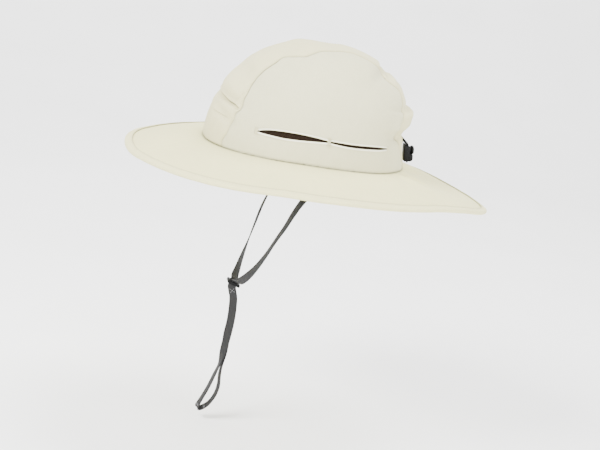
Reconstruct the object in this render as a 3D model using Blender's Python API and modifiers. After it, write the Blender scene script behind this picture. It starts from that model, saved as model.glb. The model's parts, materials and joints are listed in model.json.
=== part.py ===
"""Sun hat: a soft crown of three panels with a vent slit on each side, a wide brim with a
bound edge, a chin strap with its slider, and a drawcord with a cord lock at the back.

Metres. The origin is the centre of the head opening, level with the seam between the crown
and the brim. -Y is the front, +X the wearer's left, +Z up. The hat has the form it has when
worn, with the straps hanging.
"""

import math
from bisect import bisect_right
from collections import namedtuple

import bmesh
import bpy
from mathutils import Matrix, Vector

OBJECT_NAME = "sun_hat"

# Gaps
CLEARANCE = 0.0003
PANEL_GAP = 0.0006
BRIM_SEAM_GAP = 0.0004

# Crown: a dome whose plan is a superellipse and whose profile is squarer at the back
CROWN_HALF_WIDTH = 0.081
CROWN_HALF_LENGTH = 0.102
CROWN_HEIGHT = 0.1092
CROWN_WALL = 0.0013
CROWN_PLAN_POWER = 2.1
CROWN_FRONT_POWER = 2.1
CROWN_BACK_POWER = 2.71
SEAM_RISE = 0.0034  # how far the brim seam climbs over the ears

# Centre panel: half its width along the way from the front seam over the top to the back
PanelWidth = namedtuple("PanelWidth", "over share")  # degrees, share of CROWN_HALF_WIDTH
CENTRE_PANEL_WIDTHS = [
    PanelWidth(0, 0.54),
    PanelWidth(14, 0.595),
    PanelWidth(28, 0.60),
    PanelWidth(38, 0.57),
    PanelWidth(50, 0.49),
    PanelWidth(60, 0.445),
    PanelWidth(67, 0.395),
    PanelWidth(75, 0.43),
    PanelWidth(82, 0.40),
    PanelWidth(90, 0.325),
    PanelWidth(98, 0.25),
    PanelWidth(108, 0.28),
    PanelWidth(119, 0.26),
    PanelWidth(127, 0.36),
    PanelWidth(133, 0.295),
    PanelWidth(140, 0.35),
    PanelWidth(147, 0.49),
    PanelWidth(153, 0.60),
    PanelWidth(161, 0.51),
    PanelWidth(169, 0.40),
    PanelWidth(180, 0.32),
]

# Dents and folds of the crown. over runs from the front seam (0) over the top to the back
# (180), and side from the middle (0) to the ear (90). along and across are half sizes, turn
# is the angle of the long side from the over direction, all in degrees. depth is a share of
# CROWN_HEIGHT, and a bump has a negative one.
Dent = namedtuple("Dent", "over side along across turn depth")
CROWN_DENTS = [
    Dent(27, 2, 3.0, 11, 0, 0.026),
    Dent(28, 16, 2.6, 13, -8, 0.034),
    Dent(33, 10, 5.0, 16, 0, -0.016),
    Dent(19, 17, 2.6, 13, 10, 0.020),
    Dent(45, 5, 4.0, 13, 0, 0.016),
    Dent(53, 12, 6.0, 12, 0, -0.010),
    Dent(79, 19, 5.0, 7, 0, 0.018),
    Dent(70, -17, 6.0, 8, 0, 0.022),
    Dent(73, 8, 5.5, 7, 0, 0.018),
    Dent(77, 0, 5.0, 22, 0, -0.011),
    Dent(94, 0, 5.5, 22, 0, 0.017),
    Dent(122, 14, 3.4, 15, 12, 0.029),
    Dent(121, -12, 3.6, 13, -10, 0.024),
    Dent(126.5, 5, 4.8, 18, 0, 0.030),
    Dent(70, 33, 10, 9, 30, 0.024),
    Dent(112, 36, 12, 10, -20, 0.014),
    Dent(152, 40, 7, 5.0, 0, 0.016),
    Dent(66, -34, 10, 10, -30, 0.018),
    Dent(108, -38, 12, 10, 20, 0.016),
]

# Back of the crown, drawn in by the cord: how far the wall moves in or out at each height
BackFold = namedtuple("BackFold", "height push")  # shares of CROWN_HEIGHT and of CINCH_DEPTH
CINCH_DEPTH = 0.0069
BACK_FOLDS = [
    BackFold(0.00, -0.20),
    BackFold(0.045, -0.28),
    BackFold(0.09, -0.45),
    BackFold(0.16, -0.66),
    BackFold(0.23, -0.86),
    BackFold(0.29, -1.06),
    BackFold(0.325, -1.2),
    BackFold(0.365, -0.76),
    BackFold(0.40, 0.0),
    BackFold(0.46, 0.52),
    BackFold(0.495, 0.78),
    BackFold(0.53, 0.28),
    BackFold(0.553, -0.24),
    BackFold(0.61, 0.0),
    BackFold(1.0, 0.0),
]
CINCH_FULL_ANGLE = 20  # degrees each side of the back over which the cord draws the wall in
CINCH_END_ANGLE = 50
PUFF_FULL_ANGLE = 12  # the same for the bulge above the cord
PUFF_END_ANGLE = 34
GATHER_DEPTH = 0.0011
GATHER_PITCH = 9.0  # degrees from fold to fold
GATHER_HEIGHT = 0.30  # where the gathers are deepest, as a share of CROWN_HEIGHT
GATHER_REACH = 0.16  # half the height that they take, as such a share

# Vents: a slit in each side panel, in two lengths with a sewn bar between them
VENT_FRONT = 48.5  # degrees round from the front
VENT_BAR_START = 95.2
VENT_BAR_END = 97.2
VENT_BACK = 140.6
VENT_HEIGHT = 0.0283
VENT_OPENING = 0.0052
VentPlace = namedtuple("VentPlace", "turn height opening")  # shares of the two sizes above
VENT_PLACES = [
    VentPlace(48.5, 0.915, 0.18),
    VentPlace(56, 0.955, 0.72),
    VentPlace(65, 0.98, 1.00),
    VentPlace(76, 1.00, 0.92),
    VentPlace(86, 1.01, 0.60),
    VentPlace(95.2, 1.00, 0.26),
    VentPlace(97.2, 1.00, 0.24),
    VentPlace(108, 0.96, 0.30),
    VentPlace(122, 0.94, 0.34),
    VentPlace(132, 0.93, 0.32),
    VentPlace(140.6, 0.925, 0.18),
]
MESH_WALL = 0.0010
MESH_MARGIN = 0.0075  # how far the mesh reaches past the slit, up and down
MESH_END_MARGIN = 5.0  # and in degrees past its ends

# Brim: its width from the crown to the edge, and how far the edge hangs below the seam
BRIM_FRONT_WIDTH = 0.075
BRIM_BACK_WIDTH = 0.097
BRIM_SIDE_WIDTH = 0.071
BRIM_WALL = 0.0020
BRIM_FRONT_POWER = 2.19
BRIM_BACK_POWER = 1.54
BRIM_POWER_START = 72  # degrees round, where the front's power starts to give way
BRIM_POWER_END = 110
BRIM_DROP = 0.0342
BRIM_CURVE = 0.30  # 0 is a straight slope from the crown to the edge
BrimDrop = namedtuple("BrimDrop", "turn share")  # degrees round from the front
BRIM_DROPS = [
    BrimDrop(0, 0.545),
    BrimDrop(45, 0.545),
    BrimDrop(90, 0.392),
    BrimDrop(135, 0.617),
    BrimDrop(180, 1.0),
]
# Soft waves of the brim: reach is the share of the way from the crown to the edge, and depth
# is a share of BRIM_DROP
BrimWave = namedtuple("BrimWave", "turn reach width length depth")
BRIM_WAVES = [
    BrimWave(160, 0.18, 8, 0.22, 0.055),
    BrimWave(152, 0.34, 6, 0.25, -0.035),
    BrimWave(168, 0.45, 9, 0.30, 0.030),
    BrimWave(-158, 0.20, 9, 0.24, 0.050),
    BrimWave(120, 0.60, 16, 0.40, 0.025),
    BrimWave(-120, 0.55, 16, 0.40, 0.025),
    BrimWave(20, 0.50, 14, 0.35, 0.022),
    BrimWave(-35, 0.50, 14, 0.35, 0.022),
]
BINDING_WIDTH = 0.0090
BINDING_WALL = 0.0009

# Chin strap: a flat tape, sewn in over each ear, through the slider under the chin and down
# to a fold at its end. A stop is a place on its middle line and the way its width runs there.
STRAP_WIDTH = 0.008
STRAP_WALL = 0.0012
STRAP_STEP = 0.0062
STRAP_DROP = 0.1476  # from the origin down to the slider
STRAP_TAIL = 0.1410  # from the slider down to the fold
STRAP_SEAM_TURN = 97  # degrees round from the front to where it is sewn in
STRAP_SEAM_HEIGHTS = [0.0110, 0.0035]
Stop = namedtuple("Stop", "x y z across_x across_y across_z")
# x, y and z are shares of CROWN_HALF_WIDTH, CROWN_HALF_LENGTH and STRAP_DROP
STRAP_CHEEK = [
    Stop(0.948, 0.080, -0.041, 0.15, 0.98, -0.10),
    Stop(0.936, 0.029, -0.136, 0.60, 0.75, -0.25),
    Stop(0.914, -0.051, -0.238, 0.91, 0.31, -0.28),
    Stop(0.883, -0.108, -0.334, 0.94, 0.20, -0.26),
    Stop(0.846, -0.151, -0.425, 0.95, 0.06, -0.30),
    Stop(0.772, -0.213, -0.544, 0.94, -0.07, -0.35),
    Stop(0.679, -0.261, -0.657, 0.89, -0.05, -0.46),
    Stop(0.543, -0.317, -0.779, 0.79, 0.12, -0.60),
    Stop(0.395, -0.368, -0.874, 0.60, 0.45, -0.66),
    Stop(0.235, -0.410, -0.943, 0.33, 0.75, -0.57),
]
# From the slider's middle: x is a share of STRAP_WIDTH, y and z are shares of STRAP_TAIL
STRAP_TAIL_LEFT = [
    Stop(0.300, -0.005, -0.038, 0.05, 0.96, -0.25),
    Stop(0.200, 0.018, -0.109, 0.20, 0.97, 0.05),
    Stop(0.200, 0.028, -0.201, 0.28, 0.95, 0.05),
    Stop(0.200, 0.030, -0.301, 0.31, 0.95, 0.0),
    Stop(0.225, 0.023, -0.414, 0.39, 0.92, 0.0),
    Stop(0.212, 0.012, -0.528, 0.72, 0.69, 0.0),
    Stop(0.075, 0.001, -0.645, 1.00, 0.05, 0.0),
    Stop(0.037, -0.020, -0.726, 0.99, 0.12, 0.0),
    Stop(0.025, -0.048, -0.826, 0.99, 0.14, 0.0),
    Stop(0.025, -0.080, -0.914, 0.99, 0.14, -0.05),
    Stop(0.0, -0.101, -0.971, 0.95, 0.25, -0.10),
    Stop(0.0, -0.104, -0.986, 0.90, 0.35, -0.20),
    Stop(0.0, -0.099, -0.999, 0.90, 0.35, -0.20),
]
STRAP_TAIL_RIGHT = [
    Stop(-0.300, -0.005, -0.038, 0.05, 0.96, -0.25),
    Stop(-0.200, 0.018, -0.109, 0.20, 0.97, 0.05),
    Stop(-0.200, 0.028, -0.201, 0.28, 0.95, 0.05),
    Stop(-0.200, 0.030, -0.301, 0.31, 0.95, 0.0),
    Stop(-0.200, 0.023, -0.414, 0.39, 0.92, 0.0),
    Stop(-0.125, 0.025, -0.528, 0.72, 0.69, 0.0),
    Stop(-0.050, 0.023, -0.645, 1.00, 0.07, 0.0),
    Stop(-0.025, 0.020, -0.719, 0.98, 0.18, 0.0),
    Stop(0.0, 0.025, -0.804, 0.98, 0.20, 0.0),
    Stop(0.0, 0.013, -0.876, 0.99, 0.14, 0.0),
    Stop(0.0, -0.023, -0.950, 0.99, 0.10, -0.05),
    Stop(0.0, -0.067, -0.991, 0.95, 0.25, -0.10),
]

# Slider on the strap: a plate with two slots, tilted with its long side towards the chin
SLIDER_LENGTH = 0.0138
SLIDER_WIDTH = 0.0116
SLIDER_THICKNESS = 0.0030
SLIDER_FORWARD = 0.0460  # of its middle, from the origin
SLIDER_TILT = 20.4  # degrees
SLIDER_SLOT_PLACE = 0.0027  # from the middle to each slot
SLIDER_SLOT_ROOM = 0.0006  # free room on each side of the tape
SLIDER_BEVEL = 0.0008

# Drawcord and its lock at the back. Lock sizes are seen from the side: out from the crown
# and up. The plunger slides on an axis across the cord.
CORD_DIAMETER = 0.0020
CORD_SPACING = 0.0026  # between the two strands inside the lock
CORD_EXIT_HEIGHT = 0.0285
CORD_EXIT_TURN = 175  # degrees round from the front
CORD_STEP = 0.0024
CORD_TURN_PARTS = 6  # steps of the turn below the lock
LOCK_FOOT_HEIGHT = 0.0044
LOCK_STANDOFF = 0.0017  # from the crown to the lock, which hangs loose on its cord
LOCK_LEAN = 8.0  # degrees, its top towards the crown
LOCK_WIDTH = 0.0110
LOCK_HEIGHT = 0.0150
LOCK_DEPTH = 0.0068
LOCK_LEDGE_DEPTH = 0.0092
LOCK_LEDGE_HEIGHT = 0.0056
LOCK_LEDGE_ROUND = 0.0010
LOCK_BEVEL = 0.0009
LOCK_FLOOR = 0.0009
PLUNGER_TRAVEL = 0.0012
PLUNGER_HEIGHT = 0.0108  # of its axis above the lock's foot
PLUNGER_RADIUS = 0.0031
PLUNGER_END_WALL = 0.0006
PLUNGER_HEAD_RADIUS = 0.0046
PLUNGER_HEAD_DEPTH = 0.0022

UPPER_FRONT_CORNER = 46  # degrees over, where the side panel's front edge meets its top edge
UPPER_BACK_CORNER = 137  # and its top edge the back edge

# Counts of faces. The centre panel's rows meet the side panel's points along their seam.
CENTRE_COLUMNS = 12
VENT_SPANS = [3, 9, 1, 9, 3]  # columns before, along, between, along and after the slits
LOWER_ROWS = 4
UPPER_ROWS = 8
BRIM_COLUMNS = 60
BRIM_ROWS = 6
BINDING_LEG_ROWS = 1
BINDING_EDGE_ROWS = 4
ROUND_SIDES = 20


def smooth_value(rows, place, field):
    """A field of a table at a place, on a smooth curve through the table's rows."""
    places = [row[0] for row in rows]
    values = [getattr(row, field) for row in rows]
    if place <= places[0]:
        return values[0]
    if place >= places[-1]:
        return values[-1]
    low = bisect_right(places, place) - 1

    def slope(index):
        if index in (0, len(rows) - 1):
            return 0.0
        return (values[index + 1] - values[index - 1]) / (places[index + 1] - places[index - 1])

    span = places[low + 1] - places[low]
    t = (place - places[low]) / span
    start = (1 + 2 * t) * (1 - t) ** 2 * values[low] + t * (1 - t) ** 2 * span * slope(low)
    end = t * t * (3 - 2 * t) * values[low + 1] - t * t * (1 - t) * span * slope(low + 1)
    return start + end


def smooth_step(share):
    share = min(max(share, 0.0), 1.0)
    return share * share * (3 - 2 * share)


def superellipse(turn, half_width, half_length, power):
    """A point of the outline at an angle in degrees, 0 at the front and 90 at the left."""
    across, along = math.sin(math.radians(turn)), math.cos(math.radians(turn))
    x = half_width * math.copysign(abs(across) ** (2 / power), across)
    y = -half_length * math.copysign(abs(along) ** (2 / power), along)
    return x, y


def direction(over, side):
    over, side = math.radians(over), math.radians(side)
    flat = math.cos(side)
    return Vector((math.sin(side), -flat * math.cos(over), flat * math.sin(over)))


def round_direction(turn, rise):
    turn, rise = math.radians(turn), math.radians(rise)
    flat = math.cos(rise)
    return Vector((flat * math.sin(turn), -flat * math.cos(turn), math.sin(rise)))


def turn_of(point):
    return math.degrees(math.atan2(point.x, -point.y))


def smooth_radius(way):
    """Distance from the origin to the crown without its folds, along a unit vector."""
    plan = (
        abs(way.x / CROWN_HALF_WIDTH) ** CROWN_PLAN_POWER
        + abs(way.y / CROWN_HALF_LENGTH) ** CROWN_PLAN_POWER
    ) ** (1 / CROWN_PLAN_POWER)
    level = math.hypot(way.x, way.y)
    backness = 0.5 + 0.5 * way.y / level if level > 1e-9 else 0.5
    power = CROWN_FRONT_POWER + (CROWN_BACK_POWER - CROWN_FRONT_POWER) * backness
    return (plan**power + abs(way.z / CROWN_HEIGHT) ** power) ** (-1 / power)


def dent_push(way):
    """How far the dents and folds move the wall along a unit vector, outwards positive."""
    over = math.degrees(math.atan2(way.z, -way.y))
    side = math.degrees(math.asin(max(-1.0, min(1.0, way.x))))
    push = 0.0
    for dent in CROWN_DENTS:
        ahead = (over - dent.over) * math.cos(math.radians(side))
        aside = side - dent.side
        turn = math.radians(dent.turn)
        along = ahead * math.cos(turn) + aside * math.sin(turn)
        across = aside * math.cos(turn) - ahead * math.sin(turn)
        distance = (along / dent.along) ** 2 + (across / dent.across) ** 2
        push -= CROWN_HEIGHT * dent.depth * math.exp(-distance)
    return push


def back_push(way, radius):
    """How far the drawcord moves the back wall in, and the bulge above it out."""
    height = way.z * radius / CROWN_HEIGHT
    from_back = 180 - abs(turn_of(way))
    push = CINCH_DEPTH * smooth_value(BACK_FOLDS, height, "push")
    full, end = CINCH_FULL_ANGLE, CINCH_END_ANGLE
    if push > 0:
        full, end = PUFF_FULL_ANGLE, PUFF_END_ANGLE
    push *= 1 - smooth_step((from_back - full) / (end - full))
    gather_band = math.exp(-(((height - GATHER_HEIGHT) / GATHER_REACH) ** 2))
    gather_band *= 1 - smooth_step(from_back / CINCH_END_ANGLE)
    gather_band *= smooth_step(height / GATHER_HEIGHT)
    return push - GATHER_DEPTH * gather_band * math.cos(2 * math.pi * from_back / GATHER_PITCH)


def seam_height(point):
    """Height of the brim seam at the side where the point is."""
    return SEAM_RISE * point.x**2 / max(point.x**2 + point.y**2, 1e-12)


def crown_point(way, inset=0.0):
    """A point of the crown's outer face along a direction, or of a face inside it."""
    way = way.normalized()
    radius = smooth_radius(way)
    point = way * (radius + dent_push(way) + back_push(way, radius) - inset)
    point.z += seam_height(point) * (1 - point.z / CROWN_HEIGHT)
    return point


def middle_of(low, high, too_high):
    """The value between low and high where the test turns true."""
    for _ in range(24):
        middle = (low + high) / 2
        if too_high(middle):
            high = middle
        else:
            low = middle
    return (low + high) / 2


def crown_way(turn, height):
    """The direction, at an angle round from the front, in which the crown has a height."""

    def too_high(rise):
        way = round_direction(turn, rise)
        point = way * smooth_radius(way)
        return point.z + seam_height(point) * (1 - point.z / CROWN_HEIGHT) > height

    floor = SEAM_RISE * math.sin(math.radians(turn)) ** 2
    return round_direction(turn, middle_of(0, 60, too_high) if height > floor else 0.0)


def panel_seam_way(over, gap):
    """A direction on the left edge of the centre panel, a gap further out."""
    reach = CROWN_HALF_WIDTH * smooth_value(CENTRE_PANEL_WIDTHS, over, "share") + gap
    side = 30.0
    for _ in range(12):
        side = math.degrees(math.asin(reach / smooth_radius(direction(over, side))))
    return direction(over, side)


def panel_seam_over(height, at_back):
    """Where the centre panel's edge has a height, as degrees over from the front."""

    def too_high(climb):
        way = panel_seam_way(180 - climb if at_back else climb, PANEL_GAP)
        point = way * smooth_radius(way)
        return point.z + seam_height(point) * (1 - point.z / CROWN_HEIGHT) > height

    climb = middle_of(0, 40, too_high)
    return 180 - climb if at_back else climb


def vent_lip(turn, side_of_slit):
    """Height of a lip of the vent slit: side_of_slit is -1 for the lower, 1 for the upper."""
    height = VENT_HEIGHT * smooth_value(VENT_PLACES, turn, "height")
    opening = VENT_OPENING * smooth_value(VENT_PLACES, turn, "opening")
    return height + side_of_slit * opening / 2


def spread(ends, counts):
    """Places from the first end to the last, with so many equal steps between each two."""
    places = [ends[0]]
    for low, high, count in zip(ends, ends[1:], counts):
        places += [low + (high - low) * step / count for step in range(1, count + 1)]
    return places


def side_panel_layout():
    """The side panel's columns as angles round the hat, and as shares of its length."""
    height = VENT_HEIGHT
    front = turn_of(panel_seam_way(panel_seam_over(height, False), PANEL_GAP))
    back = turn_of(panel_seam_way(panel_seam_over(height, True), PANEL_GAP))
    turns = spread(
        [front, VENT_FRONT, VENT_BAR_START, VENT_BAR_END, VENT_BACK, back], VENT_SPANS
    )
    return turns, [(turn - front) / (back - front) for turn in turns]


def side_panel_edges(turns, shares):
    """Places on the centre panel's edge, in degrees over, where the side panel's front edge,
    top edge and back edge have their points."""
    edges = []
    for turn, corner, at_back in (
        (turns[0], UPPER_FRONT_CORNER, False),
        (turns[-1], UPPER_BACK_CORNER, True),
    ):
        lower = vent_lip(turn, -1)
        heights = [lower * row / LOWER_ROWS for row in range(LOWER_ROWS + 1)]
        heights.append(vent_lip(turn, 1))
        overs = [panel_seam_over(height, at_back) for height in heights]
        edges.append(spread([*overs, corner], [1] * (len(overs) - 1) + [UPPER_ROWS]))
    front, back = edges
    top = [front[-1] + (back[-1] - front[-1]) * share for share in shares]
    return front, top, back


def side_panel_ways():
    """Directions of the left side panel, by row from the brim seam up and by column."""
    turns, shares = side_panel_layout()
    front, top, back = side_panel_edges(turns, shares)
    rows = []
    for row in range(LOWER_ROWS + 2):
        left = turn_of(panel_seam_way(front[row], PANEL_GAP))
        right = turn_of(panel_seam_way(back[row], PANEL_GAP))
        lip = 1 if row > LOWER_ROWS else -1
        part = min(row / LOWER_ROWS, 1)
        rows.append([
            crown_way(left + (right - left) * share, vent_lip(turn, lip) * part)
            for turn, share in zip(turns, shares)
        ])
    bottom = rows[-1]
    top_ways = [panel_seam_way(over, PANEL_GAP) for over in top]
    for row in range(1, UPPER_ROWS + 1):
        rise = row / UPPER_ROWS
        left = panel_seam_way(front[LOWER_ROWS + 1 + row], PANEL_GAP)
        right = panel_seam_way(back[LOWER_ROWS + 1 + row], PANEL_GAP)
        ways = []
        for column, along in enumerate(shares):
            upward = bottom[column] * (1 - rise) + top_ways[column] * rise
            across = left * (1 - along) + right * along
            low = bottom[0] * (1 - along) + bottom[-1] * along
            high = top_ways[0] * (1 - along) + top_ways[-1] * along
            ways.append((upward + across - low * (1 - rise) - high * rise).normalized())
        rows.append(ways)
    return rows


def brim_point(turn, reach):
    """A point of the brim's top, at a share of the way from the crown (0) to the edge (1).

    A negative reach lies under the crown's wall, at its inner face for -1.
    """
    seam = crown_point(round_direction(turn, 0))
    seam.z = seam_height(seam) - BRIM_SEAM_GAP
    if reach <= 0:
        inward = Vector((seam.x, seam.y, 0)).normalized() * CROWN_WALL * reach
        return seam + inward
    length = CROWN_HALF_LENGTH + (BRIM_FRONT_WIDTH if abs(turn) < 90 else BRIM_BACK_WIDTH)
    backness = smooth_step((abs(turn) - BRIM_POWER_START) / (BRIM_POWER_END - BRIM_POWER_START))
    power = BRIM_FRONT_POWER + (BRIM_BACK_POWER - BRIM_FRONT_POWER) * backness
    edge_x, edge_y = superellipse(turn, CROWN_HALF_WIDTH + BRIM_SIDE_WIDTH, length, power)
    edge_z = -BRIM_DROP * smooth_value(BRIM_DROPS, abs(turn), "share")
    fall = reach * (1 - BRIM_CURVE) + reach * reach * BRIM_CURVE
    x = seam.x + (edge_x - seam.x) * reach
    y = seam.y + (edge_y - seam.y) * reach
    z = seam.z + (edge_z - seam.z) * fall
    return Vector((x, y, z + brim_wave(turn, reach)))


def brim_wave(turn, reach):
    rise = 0.0
    for wave in BRIM_WAVES:
        round_off = (turn - wave.turn + 180) % 360 - 180
        distance = (round_off / wave.width) ** 2 + ((reach - wave.reach) / wave.length) ** 2
        rise -= BRIM_DROP * wave.depth * math.exp(-distance)
    return rise * smooth_step(reach / 0.12)


def brim_length(turn):
    return (brim_point(turn, 1) - brim_point(turn, 0)).length


def brim_frame(turn, reach):
    """The brim's outward way along its slope, and its upward normal."""
    out = (brim_point(turn, reach) - brim_point(turn, reach - 0.01)).normalized()
    round_about = brim_point(turn + 0.5, reach) - brim_point(turn - 0.5, reach)
    return out, round_about.cross(-out).normalized()


def clear_scene():
    for thing in list(bpy.data.objects):
        bpy.data.objects.remove(thing, do_unlink=True)


def collection_named(name):
    collection = bpy.data.collections.new(name)
    bpy.context.scene.collection.children.link(collection)
    return collection


def make_material(name, color, roughness):
    material = bpy.data.materials.new(name)
    material.use_nodes = True
    shader = material.node_tree.nodes["Principled BSDF"]
    shader.inputs["Base Color"].default_value = (*color, 1.0)
    shader.inputs["Roughness"].default_value = roughness
    shader.inputs["Metallic"].default_value = 0.0
    material.diffuse_color = (*color, 1.0)
    return material


def add_object(name, mesh, material, collection):
    thing = bpy.data.objects.new(name, mesh)
    collection.objects.link(thing)
    thing.data.materials.append(material)
    return thing


def sheet(
    name, rows, columns, place, material, collection, thickness, removed=None, offset=-1.0
):
    """A cloth piece: a grid whose points go to place(row, column), thickened inwards."""
    mesh = bmesh.new()
    bmesh.ops.create_grid(mesh, x_segments=columns, y_segments=rows, size=0.5)
    gone = []
    for face in mesh.faces:
        middle = face.calc_center_median()
        cell = (int((middle.y + 0.5) * rows), int((middle.x + 0.5) * columns))
        if removed and removed(*cell):
            gone.append(face)
    bmesh.ops.delete(mesh, geom=gone, context="FACES")
    for vertex in mesh.verts:
        row = round((vertex.co.y + 0.5) * rows)
        column = round((vertex.co.x + 0.5) * columns)
        vertex.co = place(row, column)
    bmesh.ops.remove_doubles(mesh, verts=mesh.verts, dist=1e-6)
    data = bpy.data.meshes.new(name)
    mesh.to_mesh(data)
    mesh.free()
    data.shade_smooth()
    thing = add_object(name, data, material, collection)
    solidify = thing.modifiers.new("thickness", "SOLIDIFY")
    solidify.thickness = thickness
    solidify.offset = offset
    solidify.use_even_offset = True
    return thing


def make_centre_panel(material, collection):
    front, top, back = side_panel_edges(*side_panel_layout())
    overs = [0, *front[1:], *top[1:], *reversed(back[1:-1]), 180]

    def place(row, column):
        limit = math.degrees(math.asin(panel_seam_way(overs[row], 0).x))
        return crown_point(direction(overs[row], limit * (2 * column / CENTRE_COLUMNS - 1)))

    sheet(
        "centre_panel", len(overs) - 1, CENTRE_COLUMNS, place, material, collection,
        thickness=CROWN_WALL,
    )


def mirrored(point, side):
    return Vector((point.x * side, point.y, point.z))


def make_side_panel(side, name, ways, material, collection):
    columns = sum(VENT_SPANS)
    slit_start = VENT_SPANS[0]
    bar = slit_start + VENT_SPANS[1]
    slit_end = columns - VENT_SPANS[-1]

    def own_column(column, last):
        return column if side > 0 else last - column

    def place(row, column):
        return mirrored(crown_point(ways[row][own_column(column, columns)]), side)

    def in_slit(row, column):
        column = own_column(column, columns - 1)
        return row == LOWER_ROWS and slit_start <= column < slit_end and column != bar

    sheet(
        name, LOWER_ROWS + 1 + UPPER_ROWS, columns, place, material, collection,
        removed=in_slit, thickness=CROWN_WALL,
    )


def make_vent_mesh(side, name, material, collection):
    """The mesh behind a slit, a thin sheet just inside the side panel."""
    ends = [VENT_FRONT - MESH_END_MARGIN, VENT_FRONT, VENT_BAR_START, VENT_BAR_END, VENT_BACK]
    ends.append(VENT_BACK + MESH_END_MARGIN)
    turns = spread(ends, [1, *VENT_SPANS[1:-1], 1])
    levels = [-1, 0, 1]
    reach = VENT_OPENING / 2 + MESH_MARGIN
    inset = CROWN_WALL + 2 * CLEARANCE

    def place(row, column):
        turn = turns[column] if side > 0 else turns[-1 - column]
        height = VENT_HEIGHT * smooth_value(VENT_PLACES, turn, "height") + levels[row] * reach
        return mirrored(crown_point(crown_way(turn, height), inset), side)

    sheet(
        name, len(levels) - 1, len(turns) - 1, place, material, collection,
        thickness=MESH_WALL,
    )


def make_brim(material, collection):
    inset = BINDING_WALL + CLEARANCE + BRIM_WALL / 2  # the middle of the binding's round edge

    def place(row, column):
        turn = 360 * (column % BRIM_COLUMNS) / BRIM_COLUMNS - 180
        if row > BRIM_ROWS:
            return brim_point(turn, -1)
        reach = 1 - row / BRIM_ROWS
        return brim_point(turn, reach * (1 - inset / brim_length(turn)))

    sheet(
        "brim", BRIM_ROWS + 1, BRIM_COLUMNS, place, material, collection,
        thickness=BRIM_WALL,
    )


def binding_section():
    """The binding's outer face as steps: inward from the edge, up, and out round the edge."""
    half = BRIM_WALL / 2 + CLEARANCE + BINDING_WALL
    Step = namedtuple("Step", "inward up")
    leg = BINDING_WIDTH - half
    legs = [leg * row / BINDING_LEG_ROWS for row in range(1, BINDING_LEG_ROWS + 1)]
    steps = [Step(half + reach, -half) for reach in reversed(legs)]
    for row in range(BINDING_EDGE_ROWS + 1):
        angle = math.pi * row / BINDING_EDGE_ROWS
        steps.append(Step(half - half * math.sin(angle), -half * math.cos(angle)))
    return steps + [Step(half + reach, half) for reach in legs]


def make_binding(material, collection):
    steps = binding_section()

    def place(row, column):
        turn = 360 * (column % BRIM_COLUMNS) / BRIM_COLUMNS - 180
        step = steps[row]
        reach = 1 - step.inward / brim_length(turn)
        out, up = brim_frame(turn, reach)
        return brim_point(turn, reach) + up * (step.up - BRIM_WALL / 2)

    sheet(
        "brim_binding", len(steps) - 1, BRIM_COLUMNS, place, material, collection,
        thickness=BINDING_WALL,
    )


def smooth_route(stops, step):
    """Points and width directions along a smooth curve through the stops."""
    count = len(stops)
    vectors = [Vector((*stop[:3], *stop[3:6])) for stop in stops]
    lengths = [(vectors[i + 1].xyz - vectors[i].xyz).length for i in range(count - 1)]
    route = []
    for index in range(count - 1):
        before = vectors[max(index - 1, 0)]
        start, end = vectors[index], vectors[index + 1]
        after = vectors[min(index + 2, count - 1)]
        length = lengths[index]
        start_slope = (end - before) / (length + (lengths[index - 1] if index else 0.0))
        past = lengths[index + 1] if index < count - 2 else 0.0
        end_slope = (after - start) / (length + past)
        parts = max(1, round(length / step))
        for part in range(parts):
            t = part / parts
            route.append(
                start * ((1 + 2 * t) * (1 - t) ** 2)
                + start_slope * (length * t * (1 - t) ** 2)
                + end * (t * t * (3 - 2 * t))
                - end_slope * (length * t * t * (1 - t))
            )
    route.append(vectors[-1])
    return [(Vector(row[:3]), Vector(row[3:6])) for row in route]


def strap_seam_stops():
    """Where the left end of the tape is sewn to the inside of the crown."""
    inset = CROWN_WALL + 1.5 * CLEARANCE + STRAP_WALL / 2
    points = [crown_point(crown_way(STRAP_SEAM_TURN, h), inset) for h in STRAP_SEAM_HEIGHTS]
    before, after = (crown_point(round_direction(STRAP_SEAM_TURN + step, 0)) for step in (-2, 2))
    across = (after - before).normalized()
    return [Stop(*point, across.x, across.y, 0) for point in points]


def strap_cheek_stops():
    return [
        stop._replace(
            x=stop.x * CROWN_HALF_WIDTH, y=stop.y * CROWN_HALF_LENGTH, z=stop.z * STRAP_DROP
        )
        for stop in STRAP_CHEEK
    ]


def strap_slider_stops():
    """The tape's way over the slider's left bar and down through the slot inside it."""
    frame = slider_frame()
    across = frame.to_3x3() @ Vector((0, 1, 0))
    face = SLIDER_THICKNESS / 2
    places = [
        (SLIDER_WIDTH * 0.84, face + STRAP_WALL * 2.6),
        ((SLIDER_WIDTH / 2 + SLIDER_SLOT_PLACE + STRAP_WALL) / 2, face + STRAP_WALL * 1.6),
        (SLIDER_SLOT_PLACE + STRAP_WALL / 3, face + STRAP_WALL * 0.75),
        (SLIDER_SLOT_PLACE, face * 0.4),
        (SLIDER_SLOT_PLACE, -face - STRAP_WALL / 6),
    ]
    return [Stop(*(frame @ Vector((x, 0, z))), *across) for x, z in places]


def strap_tail_stops(stops):
    return [
        stop._replace(
            x=stop.x * STRAP_WIDTH,
            y=stop.y * STRAP_TAIL - SLIDER_FORWARD,
            z=stop.z * STRAP_TAIL - STRAP_DROP,
        )
        for stop in stops
    ]


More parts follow.
